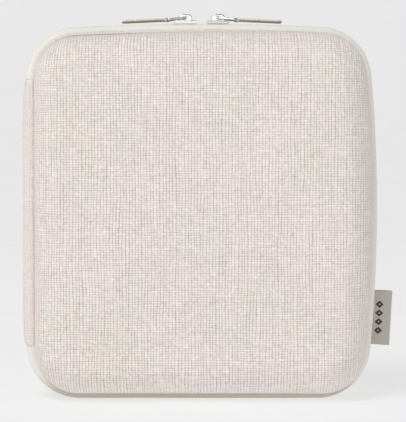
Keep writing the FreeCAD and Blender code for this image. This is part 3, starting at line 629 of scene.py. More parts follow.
def leather(name, light, dark, edge=None):
    """Fine-grained leather; its cut edge, where the third thread value is 1, has another colour."""
    f = Finish(name, Roughness=0.55, Specular_IOR_Level=0.4)
    spot = f.spot()
    pebble = f.node("TexVoronoi", {"Vector": spot, "Scale": 2.6}, feature="DISTANCE_TO_EDGE")
    crease = f.ramp(pebble, 0.0, 0.14)
    cloud = f.noise(spot, 0.5, 4.0, 0.6)
    pore = f.noise(spot, 9.0, 2.0, 0.6)
    height = f.fma(pore, 0.3, f.fma(cloud, 0.5, crease))
    f.bump(height, 0.07, 0.7)
    base = f.blend(f.ramp(cloud, 0.35, 0.7), light, dark)
    base = f.shade(base, f.fma(crease, 0.07, 0.93))
    if edge:
        cut = f.blend(f.ramp(cloud, 0.3, 0.7), *edge)
        base = f.blend(f.ramp(f.place()[2], 0.35, 0.65), base, cut)
    f.set("Base Color", base)
    f.set("Roughness", f.ramp(cloud, 0.3, 0.7, 0.46, 0.62))
    return f.material


def label_cloth(name, ground, dark_ground, ink):
    """A ribbed woven label with a plain column of lozenges in darker yarn."""
    f = Finish(name, Roughness=0.7, Sheen_Weight=0.3)
    s, t, _ = f.place()
    rib = f.ridges(f.times(t, math.pi / 0.52))
    warp = f.ridges(f.times(s, math.pi / 0.36))
    fuzz = f.streaks(s, 3.0, t, 7.0, 0.0, 3.0, 0.7)
    height = f.fma(warp, 0.3, rib)
    f.bump(f.fma(fuzz, 0.4, height), 0.12, 0.9)
    base = f.blend(f.ramp(fuzz, 0.3, 0.7), ground, dark_ground)
    # painted shade: ribs lighter on their crowns and darker between them
    base = f.shade(base, f.fma(rib, 0.2, 0.84))
    # four open lozenges up the middle of the label
    from_middle = f.math("ABSOLUTE", f.math("SUBTRACT", s, LOZENGE_X))
    cell = f.math("ABSOLUTE", f.math("SUBTRACT", f.math("FRACT", f.math("DIVIDE", t, LOZENGE_PITCH)), 0.5))
    inside = f.math("LESS_THAN", f.math("ABSOLUTE", t), 2 * LOZENGE_PITCH)
    lozenge = f.math("LESS_THAN", f.add(f.math("DIVIDE", from_middle, 2.1), f.times(cell, 2.3)), 0.95)
    heart = f.math("LESS_THAN", f.add(f.math("DIVIDE", from_middle, 0.6), f.times(cell, 8.0)), 0.9)
    mark = f.times(f.math("SUBTRACT", lozenge, heart), inside)
    f.set("Base Color", f.blend(f.times(mark, f.ramp(fuzz, 0.2, 0.5, 0.75, 1.0)), base, ink))
    return f.material


def netting(name, light, dark):
    """Fine knitted yarn."""
    f = Finish(name, Roughness=0.6, Sheen_Weight=0.3)
    spot = f.spot()
    yarn = f.noise(spot, 3.0, 3.0, 0.7)
    rib = f.math("SINE", f.times(f.node("SeparateXYZ", {0: spot}), 16.0))
    f.bump(f.fma(rib, 0.4, yarn), 0.08, 0.8)
    f.set("Base Color", f.blend(f.ramp(yarn, 0.3, 0.7), light, dark))
    return f.material


LOZENGE_X, LOZENGE_PITCH = 7.6, 4.2
cloth = linen("linen", tone(236, 226, 223), tone(234, 225, 219))
# the binding's foot colour is painted shade where it meets the floor
piping = ribbon("binding", tone(250, 246, 239), tone(245, 241, 232), foot=tone(196, 189, 176))
inner_tape = ribbon("inner_ribbon", tone(216, 211, 200), tone(204, 199, 187), 0.7)
zip_cloth = ribbon("zip_tape", tone(222, 219, 208), tone(208, 204, 192), 0.5, sheen=0.1)
elastic_cloth = ribbon("elastic", tone(206, 201, 192), tone(190, 185, 176), 0.8, gain=1.6, ribs_along=True)
sewing = cotton("sewing_thread", tone(226, 222, 212), tone(196, 191, 178))
pale_sewing = cotton("pale_sewing_thread", tone(250, 247, 240), tone(238, 234, 225))
lining_cloth = brushed("lining", tone(196, 191, 184), tone(182, 177, 170))
core_foam = foam("foam")
coil_nylon = nylon("zip_coil", tone(226, 223, 214), tone(206, 202, 190))
chrome = metal("plated_metal", (0.80, 0.79, 0.77), (0.66, 0.65, 0.63))
satin = metal("satin_metal", (0.76, 0.74, 0.71), (0.66, 0.64, 0.61), 0.3)
steel = metal("spring_steel", (0.50, 0.50, 0.51), (0.38, 0.38, 0.39), 0.22)
tab_leather = leather(
    "tab_leather",
    tone(236, 230, 214),
    tone(224, 217, 198),
    (tone(166, 161, 130), tone(146, 141, 113)),
)
patch_leather = leather("patch_leather", tone(212, 204, 190), tone(198, 189, 173))
woven = label_cloth("woven_label", tone(214, 208, 198), tone(200, 194, 184), tone(46, 42, 40))
net_yarn = netting("net_yarn", tone(204, 200, 192), tone(184, 180, 171))


# ------------------------------------------------------------------ moulded halves

FILLET_DEPTH = FACE - EDGE_RADIUS
FILLET_INSET = WALL_INSET + (FILLET_DEPTH - RIM) * math.tan(DRAFT) + EDGE_RADIUS / math.cos(DRAFT)


def tray_profile(depth, wall, arc):
    """(inset, depth) points up the wall and round the edge of a form nested this deep."""
    radius = EDGE_RADIUS - depth
    foot = WALL_INSET + depth / math.cos(DRAFT)
    bend = np.linspace(DRAFT, math.pi / 2, arc)
    curve = np.stack([FILLET_INSET - radius * np.cos(bend), FILLET_DEPTH + radius * np.sin(bend)], 1)
    share = np.linspace(0, 1, wall, endpoint=False)[:, None]
    straight = np.array([foot, RIM]) * (1 - share) + curve[0] * share
    return np.concatenate([straight, curve])


PRESSED, PRESSED_UP_TO, LOOSE_FROM = 0.72, 8.0, 22.0


def tray(side, outer, inner, rings=(60, 10), step=0.92, crown=0.0, swell=None):
    """One closed moulded layer between two nested forms; its cloth is pressed flatter up the wall."""
    distance = np.linspace(0, outline.length, int(outline.length / step), endpoint=False)
    points, normals = outline.at(distance)
    face_ring = points - normals * FILLET_INSET
    columns, threads = [], []
    for depth, count, outside in ((outer, rings[0], True), (inner, rings[1], False)):
        profile = tray_profile(depth, *((9, 16) if outside else (4, 8)))
        run = lengths(profile)
        layer, places = [], []
        for (inset, y), done in zip(profile, run):
            flat = points - normals * inset
            if swell is not None and outside:
                flat = flat + normals * swell(points, normals, y)[:, None]
            layer.append(upright(flat, y))
            loose = np.clip((done - PRESSED_UP_TO) / (LOOSE_FROM - PRESSED_UP_TO), 0, 1)
            pressed = np.full(len(flat), PRESSED * (1 - loose))
            places.append(np.column_stack([face_ring + normals * (run[-1] - done), pressed]))
        for share in np.linspace(1, 0.006, count + 1)[1:]:
            flat = CENTRE + (face_ring - CENTRE) * share
            layer.append(upright(flat, FACE - depth + (crown * (1 - share**2.2) if outside else 0.0)))
            places.append(np.column_stack([flat, np.zeros(len(flat))]))
        if outside:
            columns, threads = layer, places
        else:
            columns, threads = layer[::-1] + columns, places[::-1] + threads
    cells, places = np.stack(columns, 1), np.stack(threads, 1)
    cells[..., 1] *= side
    return cells, np.concatenate([places, places[:1]])


def tray_mesh(name, side, outer, inner, material, ripple=0.0, **options):
    """A moulded layer as an object; ripple is how far its face wanders."""
    cells, places = tray(side, outer, inner, **options)
    if ripple:
        flat = cells[..., [0, 2]]
        wobble = lattice(flat, 23.0, 1) * 0.6 + lattice(flat, 9.0, 2) * 0.3 + lattice(flat, 4.0, 3) * 0.1
        cells[..., 1] += side * wobble * ripple * (np.abs(cells[..., 1]) > RIM + 4)
    return grid(name, cells, places, material, (True, False), ("first_column", "last_column"))


BINDING_TOP, SWELL_FULL, SWELL_ENDS = 10.4, 14.4, 12.0
SWELL_ALL_ROUND, SWELL_ZIP_SIDE, SWELL_CORNER, SWELL_FOOT = 0.15, 1.35, 0.7, 1.15


def cover_swell(points, normals, y):
    """How far the padded wall stands out over its binding: most at the foot and on the zip side."""
    rise, fall = smooth(y, BINDING_TOP, SWELL_FULL), smooth(FACE - y, 0.0, SWELL_ENDS)
    foot = np.clip(-normals[:, 1], 0, 1) ** 2
    zip_side = smooth(points[:, 0], -45.0, 65.0)
    corner = 2 * np.clip(normals[:, 0], 0, 1) * np.abs(normals[:, 1])
    out = np.maximum(SWELL_ZIP_SIDE * zip_side + SWELL_CORNER * corner, SWELL_FOOT * foot)
    return rise * fall * (out + SWELL_ALL_ROUND)


for side, half, body in HALVES:
    cover = tray_mesh(half + "_linen_cover", side, 0.0, COVER, cloth, 0.1, crown=0.35, swell=cover_swell)
    fit(cover, body, half + "_cover")
    core = tray_mesh(
        half + "_foam_core", side, COVER + 0.02, COVER + CORE - 0.02, core_foam, rings=(14, 8), step=1.8
    )
    fit(core, body, half + "_shell")
    form = (COVER + CORE, COVER + CORE + LINING)
    inner = tray_mesh(half + "_lining_cloth", side, *form, lining_cloth, rings=(12, 46), step=1.1)
    fit(inner, body, half + "_lining")


# ------------------------------------------------------------------ bindings

BINDING = [
    (3.95, 5.75), (2.4, 5.66), (0.9, 5.62), (0.25, 5.75), (0.02, 6.35), (0.0, 7.2), (0.12, 8.2),
    (0.62, 9.25), (1.5, 9.95), (2.6, 10.2), (3.5, 10.2), (4.0, 10.08), (4.16, 9.8), (4.12, 9.2),
    (4.06, 7.2),
]
INNER_BINDING = [
    (4.15, 5.5), (4.12, 5.15), (4.6, 5.0), (6.0, 5.0), (8.6, 5.0), (9.7, 5.06), (10.05, 5.6), (10.2, 7.0),
    (10.5, 11.4), (10.45, 12.3), (9.95, 12.46), (9.66, 12.2), (9.55, 11.0), (9.26, 6.2), (9.1, 5.52),
    (6.5, 5.52),
]


STITCH_PITCH, STITCH_PULL, RIBBON_WANDER = 3.2, 0.035, 0.07


def puckers(distance, inset, depth):
    """Small pulls in a ribbon at its stitches, with a slower wander."""
    pull = np.sin(distance * (2 * math.pi / STITCH_PITCH)) * STITCH_PULL
    edge = np.clip((depth - 8.0) / 2.2, 0, 1) * np.clip((inset - 0.8) / 2.0, 0, 1)
    place = np.stack(np.broadcast_arrays(distance, 3 * depth), -1)
    slow = lattice(place, 11.0, 5) * RIBBON_WANDER
    whole = (depth > 5.9) * (inset < 3.8)
    return (slow + pull * edge) * whole, -np.abs(pull) * edge * 1.5


# (name, inset, depth, slope of the face they're sewn through, thread) of each row of stitches
BINDING_ROWS = (("outer", 2.75, 10.2, (0.0, 1.0), pale_sewing), ("inner", 10.42, 10.4, (1.0, 0.0), sewing))
for side, half, body in HALVES:
    ribbons = {
        "outer": band(half + "_ribbon_binding", refine(BINDING, 0.32), side, piping, shift=puckers),
        "inner": band(half + "_inner_ribbon", refine(INNER_BINDING, 0.6), side, inner_tape, step=1.2),
    }
    fit(ribbons["outer"], body, half + "_binding")
    fit(ribbons["inner"], body, half + "_inner_binding")
    distance = np.linspace(0, outline.length, 1400)
    for tag, inset, depth, (inward, level), yarn in BINDING_ROWS:
        path = swept(np.array([[inset, depth]]), distance, side)[:, 0]
        ups = upright(-inward * outline.at(distance)[1], side * level)
        row = stitches(f"{half}_{tag}_stitches", path, ups, yarn, radius=0.13, rise=0.05)
        fit(row, body)


# ------------------------------------------------------------------ zip

spine_low, spine_high = span("spine_panel")
ZIP_TUCK = 0.9
ZIP_START = outline.near(LEFT, spine_high[2]) - ZIP_TUCK
ZIP_END = outline.near(LEFT, spine_low[2]) + ZIP_TUCK
TAPE = [(1.72, 0.62), (1.72, 4.0), (1.74, 7.9), (2.26, 7.9), (2.28, 4.0), (2.28, 0.62)]
COIL_PITCH, COIL_RADIUS, COIL_INSET = 1.6, 0.29, 1.0
COIL_MIDDLE, COIL_REACH = 1.55, 1.4
COIL_SEAM_INSET, COIL_SEAM_DEPTH = 1.66, 3.6


def coil_path(side, phase):
    """The line of one side's filament: a flattened spiral whose heads reach past the middle."""
    turns = int((ZIP_END - ZIP_START - 1.5) / COIL_PITCH)
    angle = np.linspace(0, turns * 2 * math.pi, turns * 14 + 1) + phase
    distance = ZIP_START + 0.7 + angle / (2 * math.pi) * COIL_PITCH
    points, normals = outline.at(distance)
    inset = COIL_INSET + 0.4 * np.sin(angle)
    path = upright(points - normals * inset[:, None], side * (COIL_MIDDLE + COIL_REACH * np.cos(angle)))
    return path, np.cross([0.0, 1.0, 0.0], upright(normals, 0.0))


for side, half, body in HALVES:
    tape = band(half + "_tape", refine(TAPE, 0.45, rounds=1), side, zip_cloth, ZIP_START, ZIP_END, 1.2)
    fit(tape, body, half + "_zip_tape")
    path, along = coil_path(side, 0.0 if side == FRONT else math.pi)
    wire = tube(path, along, COIL_RADIUS, sides=6)
    coil = joined(half + "_coil", [wire], coil_nylon, [tube_threads(path, COIL_RADIUS, 6)])
    fit(coil, body, half + "_zip_coil")
    points, normals = outline.at(np.linspace(ZIP_START + 1, ZIP_END - 1, 1200))
    path = upright(points - normals * COIL_SEAM_INSET, side * COIL_SEAM_DEPTH)
    row = stitches(
        half + "_coil_stitches", path, upright(normals, 0.0), sewing, length=1.5, gap=0.5, radius=0.13
    )
    fit(row, body)


# ------------------------------------------------------------------ spine

def strip(name, section, low, high, material, step=1.0):
    """A section carried up from low to high, with rounded ends."""
    heights = np.linspace(low, high, int((high - low) / step))
    middle = section.mean(0)
    end = np.minimum(heights - low, high - heights)
    shrink = 1 - 0.35 * np.clip(1 - end / 1.4, 0, 1) ** 2
    x = middle[0] + (section[None, :, 0] - middle[0]) * shrink[:, None]
    y, z = np.broadcast_arrays(section[None, :, 1], heights[:, None])
    threads = np.ascontiguousarray(sheet_of(heights, lengths(section, closed=True))[..., ::-1])
    return grid(name, np.stack([x, y, z], -1), threads, material, *TUBE)


# (inset, depth) of the spine cloth's inner and outer faces, from its middle to the edge sewn
# over the binding
SPINE_PROUD = spine_low[0] - LEFT
SPINE_INNER = [
    (-0.06, 0.0), (-0.06, 2.7), (-0.06, 5.4), (-0.07, 7.2), (0.05, 8.3), (0.56, 9.38), (1.46, 10.08),
    (2.6, 10.3), (3.5, 10.3), (4.02, 10.0),
]
SPINE_OUTER = [
    (SPINE_PROUD, 0.0), (SPINE_PROUD + 0.04, 2.7), (SPINE_PROUD + 0.14, 5.4), (SPINE_PROUD + 0.42, 7.5),
    (-0.7, 9.1), (0.1, 10.1), (1.2, 10.72), (2.5, 10.9), (3.5, 10.78), (4.14, 10.2),
]


def spine_faces(step=40):
    """The two faces as matching runs of points from the front edge round to the back edge."""
    faces = []
    for half in (SPINE_INNER, SPINE_OUTER):
        points = np.array(half)
        both = np.concatenate([points[:0:-1] * [1, -1], points])
        face = refine(both, lengths(both)[-1] / 160, closed=False)
        run = lengths(face)
        faces.append(sample(face, run, np.linspace(0, run[-1], 2 * step + 1)))
    return faces


def spine_body(heights):
    """How full the cloth stands: it eases out from the top end and steps out at the foot."""
    from_foot, from_top = heights - spine_low[2], spine_high[2] - heights
    upper = 0.1 + 0.9 * (1 - np.exp(-from_top / 5.5))
    lower = 0.55 + 0.45 * (1 - np.exp(-from_foot / 4.0))
    nip = 1 - 0.5 * np.clip(1 - from_foot / 1.0, 0, 1) ** 2
    return upper * lower * nip


def spine_points(heights):
    """The outer and inner faces of the spine cloth at these heights."""
    inner, outer = spine_faces()
    full = spine_body(heights)[:, None, None]
    face = inner[None] + (outer - inner)[None] * full
    place = np.stack([face[..., 1], np.broadcast_to(heights[:, None], face.shape[:2])], -1)
    ripple = 0.09 * lattice(place * [2.0, 1.0], 13.0, 8) + 0.05 * lattice(place * [3.0, 1.0], 5.0, 9)
    face = face + unit(outer - inner)[None] * (ripple * full[..., 0])[..., None]
    return face, np.broadcast_to(inner[None], face.shape)


def spine_cloth():
    """One piece of linen lapped over both bindings."""
    heights = np.linspace(spine_low[2], spine_high[2], 150)
    outer, inner = spine_points(heights)
    section = np.concatenate([outer, inner[:, ::-1]], 1)
    z = np.broadcast_to(heights[:, None], section.shape[:2])
    points = np.stack([LEFT + section[..., 0], section[..., 1], z], -1)
    up, across = np.meshgrid(heights, lengths(section[75], closed=True), indexing="ij")
    threads = np.stack([across, up, np.full(up.shape, PRESSED)], -1)
    return grid("spine_cloth", points, threads, cloth, *TUBE)


def bend(piece):
    """Bakes a spine piece's placement into its mesh."""
    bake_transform(piece)


panel = spine_cloth()
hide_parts("spine_panel")
bend(panel)
low, high = span("spine_lining")
near, far = low[0] + 0.02, high[0]
section = [(near, low[1]), (near, 0.0), (near, high[1]), (far, high[1]), (far, 0.0), (far, low[1])]
panel_lining = strip("spine_lining_cloth", refine(section, 0.45, rounds=1), low[2], high[2], lining_cloth)
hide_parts("spine_lining")
bend(panel_lining)
heights = np.linspace(spine_low[2] + 2.5, spine_high[2] - 2.5, 400)
for column, body, out in ((-6, "base", 1.0), (5, "lid", -1.0)):
    face = spine_points(heights)[0][:, column]
    path = np.stack([LEFT + face[:, 0], face[:, 1], heights], -1)
    row = stitches(f"spine_stitches_{body}", path, [0.0, out, 0.0], pale_sewing, radius=0.12, rise=0.02)
    fit(row, body)


# ------------------------------------------------------------------ pulls

pivots = {j["name"]: np.array(j["pos_m"]) / MM for j in frame["joints"] if "pos_m" in j}
CAP_X, _, LINK_Z = pivots["right_link_hinge"]
TAB_X, _, TAB_Z = pivots["right_tab_hinge"]
LINK_LENGTH = math.hypot(TAB_X - CAP_X, TAB_Z - LINK_Z)
LINK_FALL, TAB_FALL = math.atan2(LINK_Z - TAB_Z, TAB_X - CAP_X), math.radians(2.6)


def rounded_loop(corners, radius, steps=7):
    """A closed polyline whose corners are turned into arcs."""
    points = []
    count = len(corners)
    for index in range(count):
        here, before, after = (np.array(corners[(index + k) % count], float) for k in (0, -1, 1))
        to_before, to_after = unit(before - here), unit(after - here)
        half = math.acos(np.clip(to_before @ to_after, -1, 1)) / 2
        cut = radius / math.tan(half)
        centre = here + unit(to_before + to_after) * radius / math.sin(half)
        first, last = here + to_before * cut - centre, here + to_after * cut - centre
        for share in np.linspace(0, 1, steps):
            points.append(centre + unit(first * (1 - share) + last * share) * radius)
    return np.array(points)


def pull_frame(side, x, z, fall):
    """Maps (out, across, up) at a pull's pivot to points in the case's frame."""
    out = np.array([side * math.cos(fall), 0.0, -math.sin(fall)])
    across = np.array([0.0, 1.0, 0.0])
    up = np.array([side * math.sin(fall), 0.0, math.cos(fall)])
    base = np.array([side * x, 0.0, z])
    return lambda p: base + p[..., :1] * out + p[..., 1:2] * across + p[..., 2:3] * up


WIRE_RADIUS, LINK_INNER_HALF, LINK_OUTER_HALF, LINK_CORNER = 0.59, 2.1, 3.4, 0.75


def link(name, side):
    """A bent wire loop, wider at its outer bar."""
    corners = [
        (0.0, -LINK_INNER_HALF), (LINK_LENGTH, -LINK_OUTER_HALF),
        (LINK_LENGTH, LINK_OUTER_HALF), (0.0, LINK_INNER_HALF),
    ]
    flat = rounded_loop(corners, LINK_CORNER, 8)
    run = lengths(flat, closed=True)
    where = np.linspace(0, run[-1], 150, endpoint=False)
    path = np.column_stack([sample(np.concatenate([flat, flat[:1]]), run, where), np.zeros(150)])
    across = np.cross(unit(np.roll(path, -1, 0) - np.roll(path, 1, 0)), [0.0, 0.0, 1.0])
    angle = np.linspace(0, 2 * math.pi, 14, endpoint=False)
    ring = across[:, None] * np.cos(angle)[None, :, None] * WIRE_RADIUS
    ring = ring + np.array([0.0, 0.0, 1.0]) * (np.sin(angle) * WIRE_RADIUS)[None, :, None]
    points = pull_frame(side, CAP_X, LINK_Z, LINK_FALL)(path[:, None] + ring)
    threads = sheet_of(np.append(where, run[-1]), np.linspace(0, 3.8, 15))
    return grid(name, points, threads, chrome, (True, True))


TAB_REACH = (span("right_pull_tab")[1][0] - TAB_X) / math.cos(TAB_FALL) - 0.03
TAB_HALF, TAB_NECK, TAB_THICK = 3.35, 2.45, 1.38
TAB_CORNER, BORE_RADIUS = 1.9, 0.72
SEAM_IN, SEAM_FROM_END = 0.95, 1.05
GROOVE_HALF, GROOVE_DEPTH, RIM_ROUND = 0.22, 0.07, 0.45
PUFF, EYE_SWELL = 0.05, 0.36


def tab_half_width(out):
    """Half the tab's width at each distance out from the bar."""
    width = TAB_NECK + (TAB_HALF - TAB_NECK) * smooth(out, 1.6, 3.2)
    end = np.clip((out - (TAB_REACH - TAB_CORNER)) / TAB_CORNER, 0, 1)
    return width - TAB_CORNER + TAB_CORNER * np.sqrt(1.0001 - end**2)


def tab_ring(out, across):
    """The section of the two pressed layers at one distance out from the bar."""
    width = tab_half_width(out)
    y, from_side = across * width, (1 - np.abs(across)) * width
    from_end = TAB_REACH - out
    rim = np.minimum(np.clip(from_side / RIM_ROUND, 0, 1), np.clip(from_end / RIM_ROUND, 0, 1))
    side_groove = np.exp(-(((from_side - SEAM_IN) / GROOVE_HALF) ** 2)) * (out > 2.2)
    end_groove = np.exp(-(((from_end - SEAM_FROM_END) / GROOVE_HALF) ** 2)) * (np.abs(y) < width - 0.8)
    near_eye = np.clip(1 - (out - 0.3) / 2.2, 0, 1) ** 1.5 * EYE_SWELL
    top = TAB_THICK / 2 * np.sqrt(1 - (1 - rim) ** 2 * 0.72)
    top = top - GROOVE_DEPTH * np.maximum(side_groove, end_groove) + PUFF * (1 - across**2) + near_eye
    upper = np.stack([np.full(len(y), out), y, top], -1)
    return np.concatenate([upper, upper[::-1] * [1, 1, -1]])


def bore(piece, x, z, radius):
    """Cuts a hole across a piece for the link's bar to run through."""
    hole = bpy.data.meshes.new(piece.name + "_bore")
    work = bmesh.new()
    size = {"radius1": radius * MM, "radius2": radius * MM, "depth": 9 * MM}
    bmesh.ops.create_cone(work, cap_ends=True, segments=32, **size)
    bmesh.ops.rotate(work, verts=work.verts, matrix=Matrix.Rotation(math.pi / 2, 3, "X"))
    bmesh.ops.translate(work, verts=work.verts, vec=Vector((x * MM, 0, z * MM)))
    work.to_mesh(hole)
    work.free()
    cutter = put(hole.name, hole)
    cut = piece.modifiers.new("bore", "BOOLEAN")
    cut.operation, cut.object, cut.solver = "DIFFERENCE", cutter, "EXACT"
    bpy.context.view_layer.update()
    graph = bpy.context.evaluated_depsgraph_get()
    solid = bpy.data.meshes.new_from_object(piece.evaluated_get(graph))
    piece.modifiers.clear()
    piece.data = solid
    bpy.data.objects.remove(cutter)


def tab(name, side):
    """A leather strip folded round the link's bar: two layers, pressed and sewn."""
    count = 21
    across = np.sin(np.linspace(-math.pi / 2, math.pi / 2, count))
    stations = np.linspace(0.35, TAB_REACH - 2.4, 44), np.linspace(TAB_REACH - 2.3, TAB_REACH, 14)
    body = np.stack([tab_ring(out, across) for out in np.concatenate(stations)])
    fold = []
    for turn in np.linspace(0.0, math.pi / 2, 8)[:-1]:
        ring = body[0].copy()
        ring[:, 0] = 0.35 - 1.08 * math.cos(turn) * 1.45
        ring[:, 2] *= max(math.sin(turn), 0.02)
        fold.append(ring)
    points = np.concatenate([np.stack(fold), body])
    # the cut edge shows on the lower layer's sides and at the tip
    edge = np.zeros(points.shape[:2] + (1,))
    edge[:, count:, 0] = np.clip(np.abs(across) * 8 - 7, 0, 1)
    edge[-6:, count:, 0] = np.maximum(edge[-6:, count:, 0], np.linspace(0, 1, 6)[:, None])
    edge[:10] = 0.0
    threads = np.concatenate([points[..., :2], edge], -1)
    threads = np.concatenate([threads, threads[:, :1]], axis=1)
    placed = pull_frame(side, TAB_X, TAB_Z, TAB_FALL)(points)
    made = grid(name, placed, threads, tab_leather, *TUBE)
    bore(made, side * TAB_X, TAB_Z, BORE_RADIUS)
    return made


def tab_stitching(name, side):
    """Stitches in the groove round the tab's upper face."""
    outs = np.linspace(3.0, TAB_REACH - TAB_CORNER, 30)
    edge = np.stack([outs, tab_half_width(outs) - SEAM_IN], -1)
    tip = np.linspace(edge[-1, 1], -edge[-1, 1], 14)
    tip = np.stack([np.full(14, TAB_REACH - SEAM_FROM_END), tip], -1)[1:-1]
    path = np.concatenate([edge, tip, edge[::-1] * [1, -1]])
    path = np.column_stack([path, np.full(len(path), TAB_THICK / 2 - 0.02)])
    placed = pull_frame(side, TAB_X, TAB_Z, TAB_FALL)
    up = placed(np.array([0.0, 0.0, 1.0])) - placed(np.zeros(3))
    return stitches(name, placed(path), up, sewing, length=1.25, gap=0.5, radius=0.13, rise=0.04)


METAL_PARTS = (("slider_body", satin, 0.22), ("slider_cap", chrome, 0.2), ("lock_spring", steel, 0.05))
for side, word in SIDES:
    fit(link(word + "_wire_link", side), word + "_link", word + "_pull_link")
    fit(tab(word + "_leather_tab", side), word + "_tab", word + "_pull_tab")
    fit(tab_stitching(word + "_tab_stitches", side), word + "_tab")
    for part, finish, width in METAL_PARTS:
        node = frame["nodes"][f"{word}_{part}"]
        node.data.materials.clear()
        node.data.materials.append(finish)
        node.modifiers.new("weld", "WELD").merge_threshold = 1e-6
        soft = node.modifiers.new("edges", "BEVEL")
        soft.width, soft.segments, soft.use_clamp_overlap = width * MM, 3, True
        soft.limit_method, soft.angle_limit = "ANGLE", math.radians(35)


# ------------------------------------------------------------------ label

label_low, label_high = span("side_label")
LABEL_HEIGHT, LABEL_TILT = 26.0, math.radians(3.2)
HALF_GAP, HALF_THICK = 0.27, 0.12


def label():
    """A woven ribbon folded once, with its fold outward and a slight curl."""
    sin, cos = math.sin(LABEL_TILT), math.cos(LABEL_TILT)
    reach = (label_high[0] - label_low[0] - LABEL_HEIGHT * sin) / cos
    root_x = label_low[0] + LABEL_HEIGHT / 2 * sin
    root_z = (label_low[2] + label_high[2]) / 2 + reach / 2 * sin
    outs = np.linspace(0.0, reach - 0.5, 26)
    turn = np.linspace(-math.pi / 2, math.pi / 2, 9)[1:-1]
    fold = [reach - 0.5 + 0.5 * np.cos(turn), (HALF_GAP + HALF_THICK) * np.sin(turn)]
    layer = np.stack([outs, np.full(26, -HALF_GAP)], -1)
    middle = np.concatenate([layer, np.stack(fold, -1), layer[::-1] * [1, -1]])
    way = unit(np.gradient(middle, axis=0))
    aside = np.stack([-way[:, 1], way[:, 0]], -1) * HALF_THICK
    section = np.concatenate([middle - aside, (middle + aside)[::-1]])
    run = lengths(middle)
    levels = np.linspace(-LABEL_HEIGHT / 2, LABEL_HEIGHT / 2, 54)
    rows = []
    for level in levels:
        out, y = section[:, 0], section[:, 1] + 0.55
        edge = np.clip(abs(level) - LABEL_HEIGHT / 2 + 1.0, 0, 1)
        fray = 0.08 * math.sin(level * 9.0) + 0.05 * math.sin(level * 23.0 + 1)
        curl = 0.35 * np.clip((out - 6.0) / 5.5, 0, 1) ** 2 * math.sin(level / 8.5 + 0.6)
        x = out + fray * np.clip((out - 9.0) / 2.0, 0, 1)
        z = level + 0.12 * edge * math.copysign(1, level) * np.sin(out * 2.1)
        place = [root_x + x * cos + z * sin, label_low[1] + y + curl, root_z - x * sin + z * cos]
        rows.append(np.stack(place, -1))
    threads = sheet_of(levels, np.concatenate([run, run[::-1], run[:1]]))[..., ::-1]
    made = grid("folded_label", np.stack(rows), np.ascontiguousarray(threads), woven, *TUBE)
    fit(made, "base", "side_label")


label()


# ------------------------------------------------------------------ mesh pocket

net_low, net_high = span("mesh_pocket")
NET_Y = (net_low[1] + net_high[1]) / 2
NET_EDGE, NET_TOP = 12.6, 98.6


def inset_of(points):
    """How far each (x, z) point lies in from the outline."""
    edge = outline.points[::6]
    near = np.full(len(points), 1e9)
    for start in range(0, len(points), 400):
        part = points[start : start + 400]
        gaps = np.hypot(part[:, None, 0] - edge[None, :, 0], part[:, None, 1] - edge[None, :, 1])
        near[start : start + 400] = gaps.min(1)
    return near


NET_PITCH, NET_HOLE, NET_THICK = 3.1, 0.56, 0.32


def net():
    """A knitted net of small rounded holes, cut to the pocket."""
    sides, radius, row_pitch = 12, NET_PITCH / math.sqrt(3), NET_PITCH * 0.866
    cells = [
        ((column + 0.5 * (row % 2)) * NET_PITCH, 9.0 + row * row_pitch)
        for row in range(int(110 / row_pitch) + 1)
        for column in range(-27, 28)
    ]
    cells = np.array(cells)
    inside = (inset_of(cells) > NET_EDGE) & (cells[:, 1] < NET_TOP) & (cells[:, 1] > 11)
    cells = cells[inside & (cells[:, 0] > LEFT) & (cells[:, 0] < RIGHT)]
    angle = math.pi / 6 + np.arange(sides) * 2 * math.pi / sides
    outer = np.where(np.arange(sides) % 2 == 0, radius, radius * math.cos(math.pi / 6))
    ring = np.stack([np.cos(angle), np.sin(angle)], -1)
    border = cells[:, None] + ring * outer[:, None]
    hole = cells[:, None] + ring * (radius * NET_HOLE)
    points = np.concatenate([border, hole], 1).reshape(-1, 2)
    here = np.arange(sides)
    after = (here + 1) % sides
    quads = np.stack([here, after, sides + after, sides + here], -1)
    faces = (np.arange(len(cells))[:, None, None] * 2 * sides + quads).reshape(-1, 4).tolist()
    full = upright(points, NET_Y + lattice(points, 26.0, 4) * 0.12)
    made = make("pocket_netting", full, faces, net_yarn, merge=0.02)
    thick = made.modifiers.new("thickness", "SOLIDIFY")
    thick.thickness, thick.offset = NET_THICK * MM, 0.0
    return fit(made, "lid", "mesh_pocket")


netting_piece = net()

hem_low, hem_high = span("pocket_elastic")


def hem():
    """An elastic hem, gathered into fine upright ribs."""
    _, middle_y, middle_z = (hem_low + hem_high) / 2
    _, half_y, half_z = (hem_high - hem_low) / 2
    angle = np.linspace(0, 2 * math.pi, 26, endpoint=False)
    y, z = (np.sign(side) * np.abs(side) ** 0.42 for side in (np.sin(angle), np.cos(angle)))
    across = np.linspace(hem_low[0] + 0.3, hem_high[0] - 0.3, 640)[:, None]
    size = 0.84 + 0.11 * np.abs(np.sin(across[:, 0] * math.pi / 1.25)) + 0.05 * lattice(across, 3.0, 6)
    points = np.stack(
        [
            np.broadcast_to(across, (640, 26)),
            middle_y + half_y * 0.92 * y * size[:, None],
            middle_z + half_z * 0.97 * z + 0.12 * lattice(across, 5.0, 7)[:, None],
        ],
        -1,
    )
    made = grid("pocket_hem", points, sheet_of(across[:, 0], np.linspace(0, 17, 27)), elastic_cloth, *TUBE)
    return fit(made, "lid", "pocket_elastic")


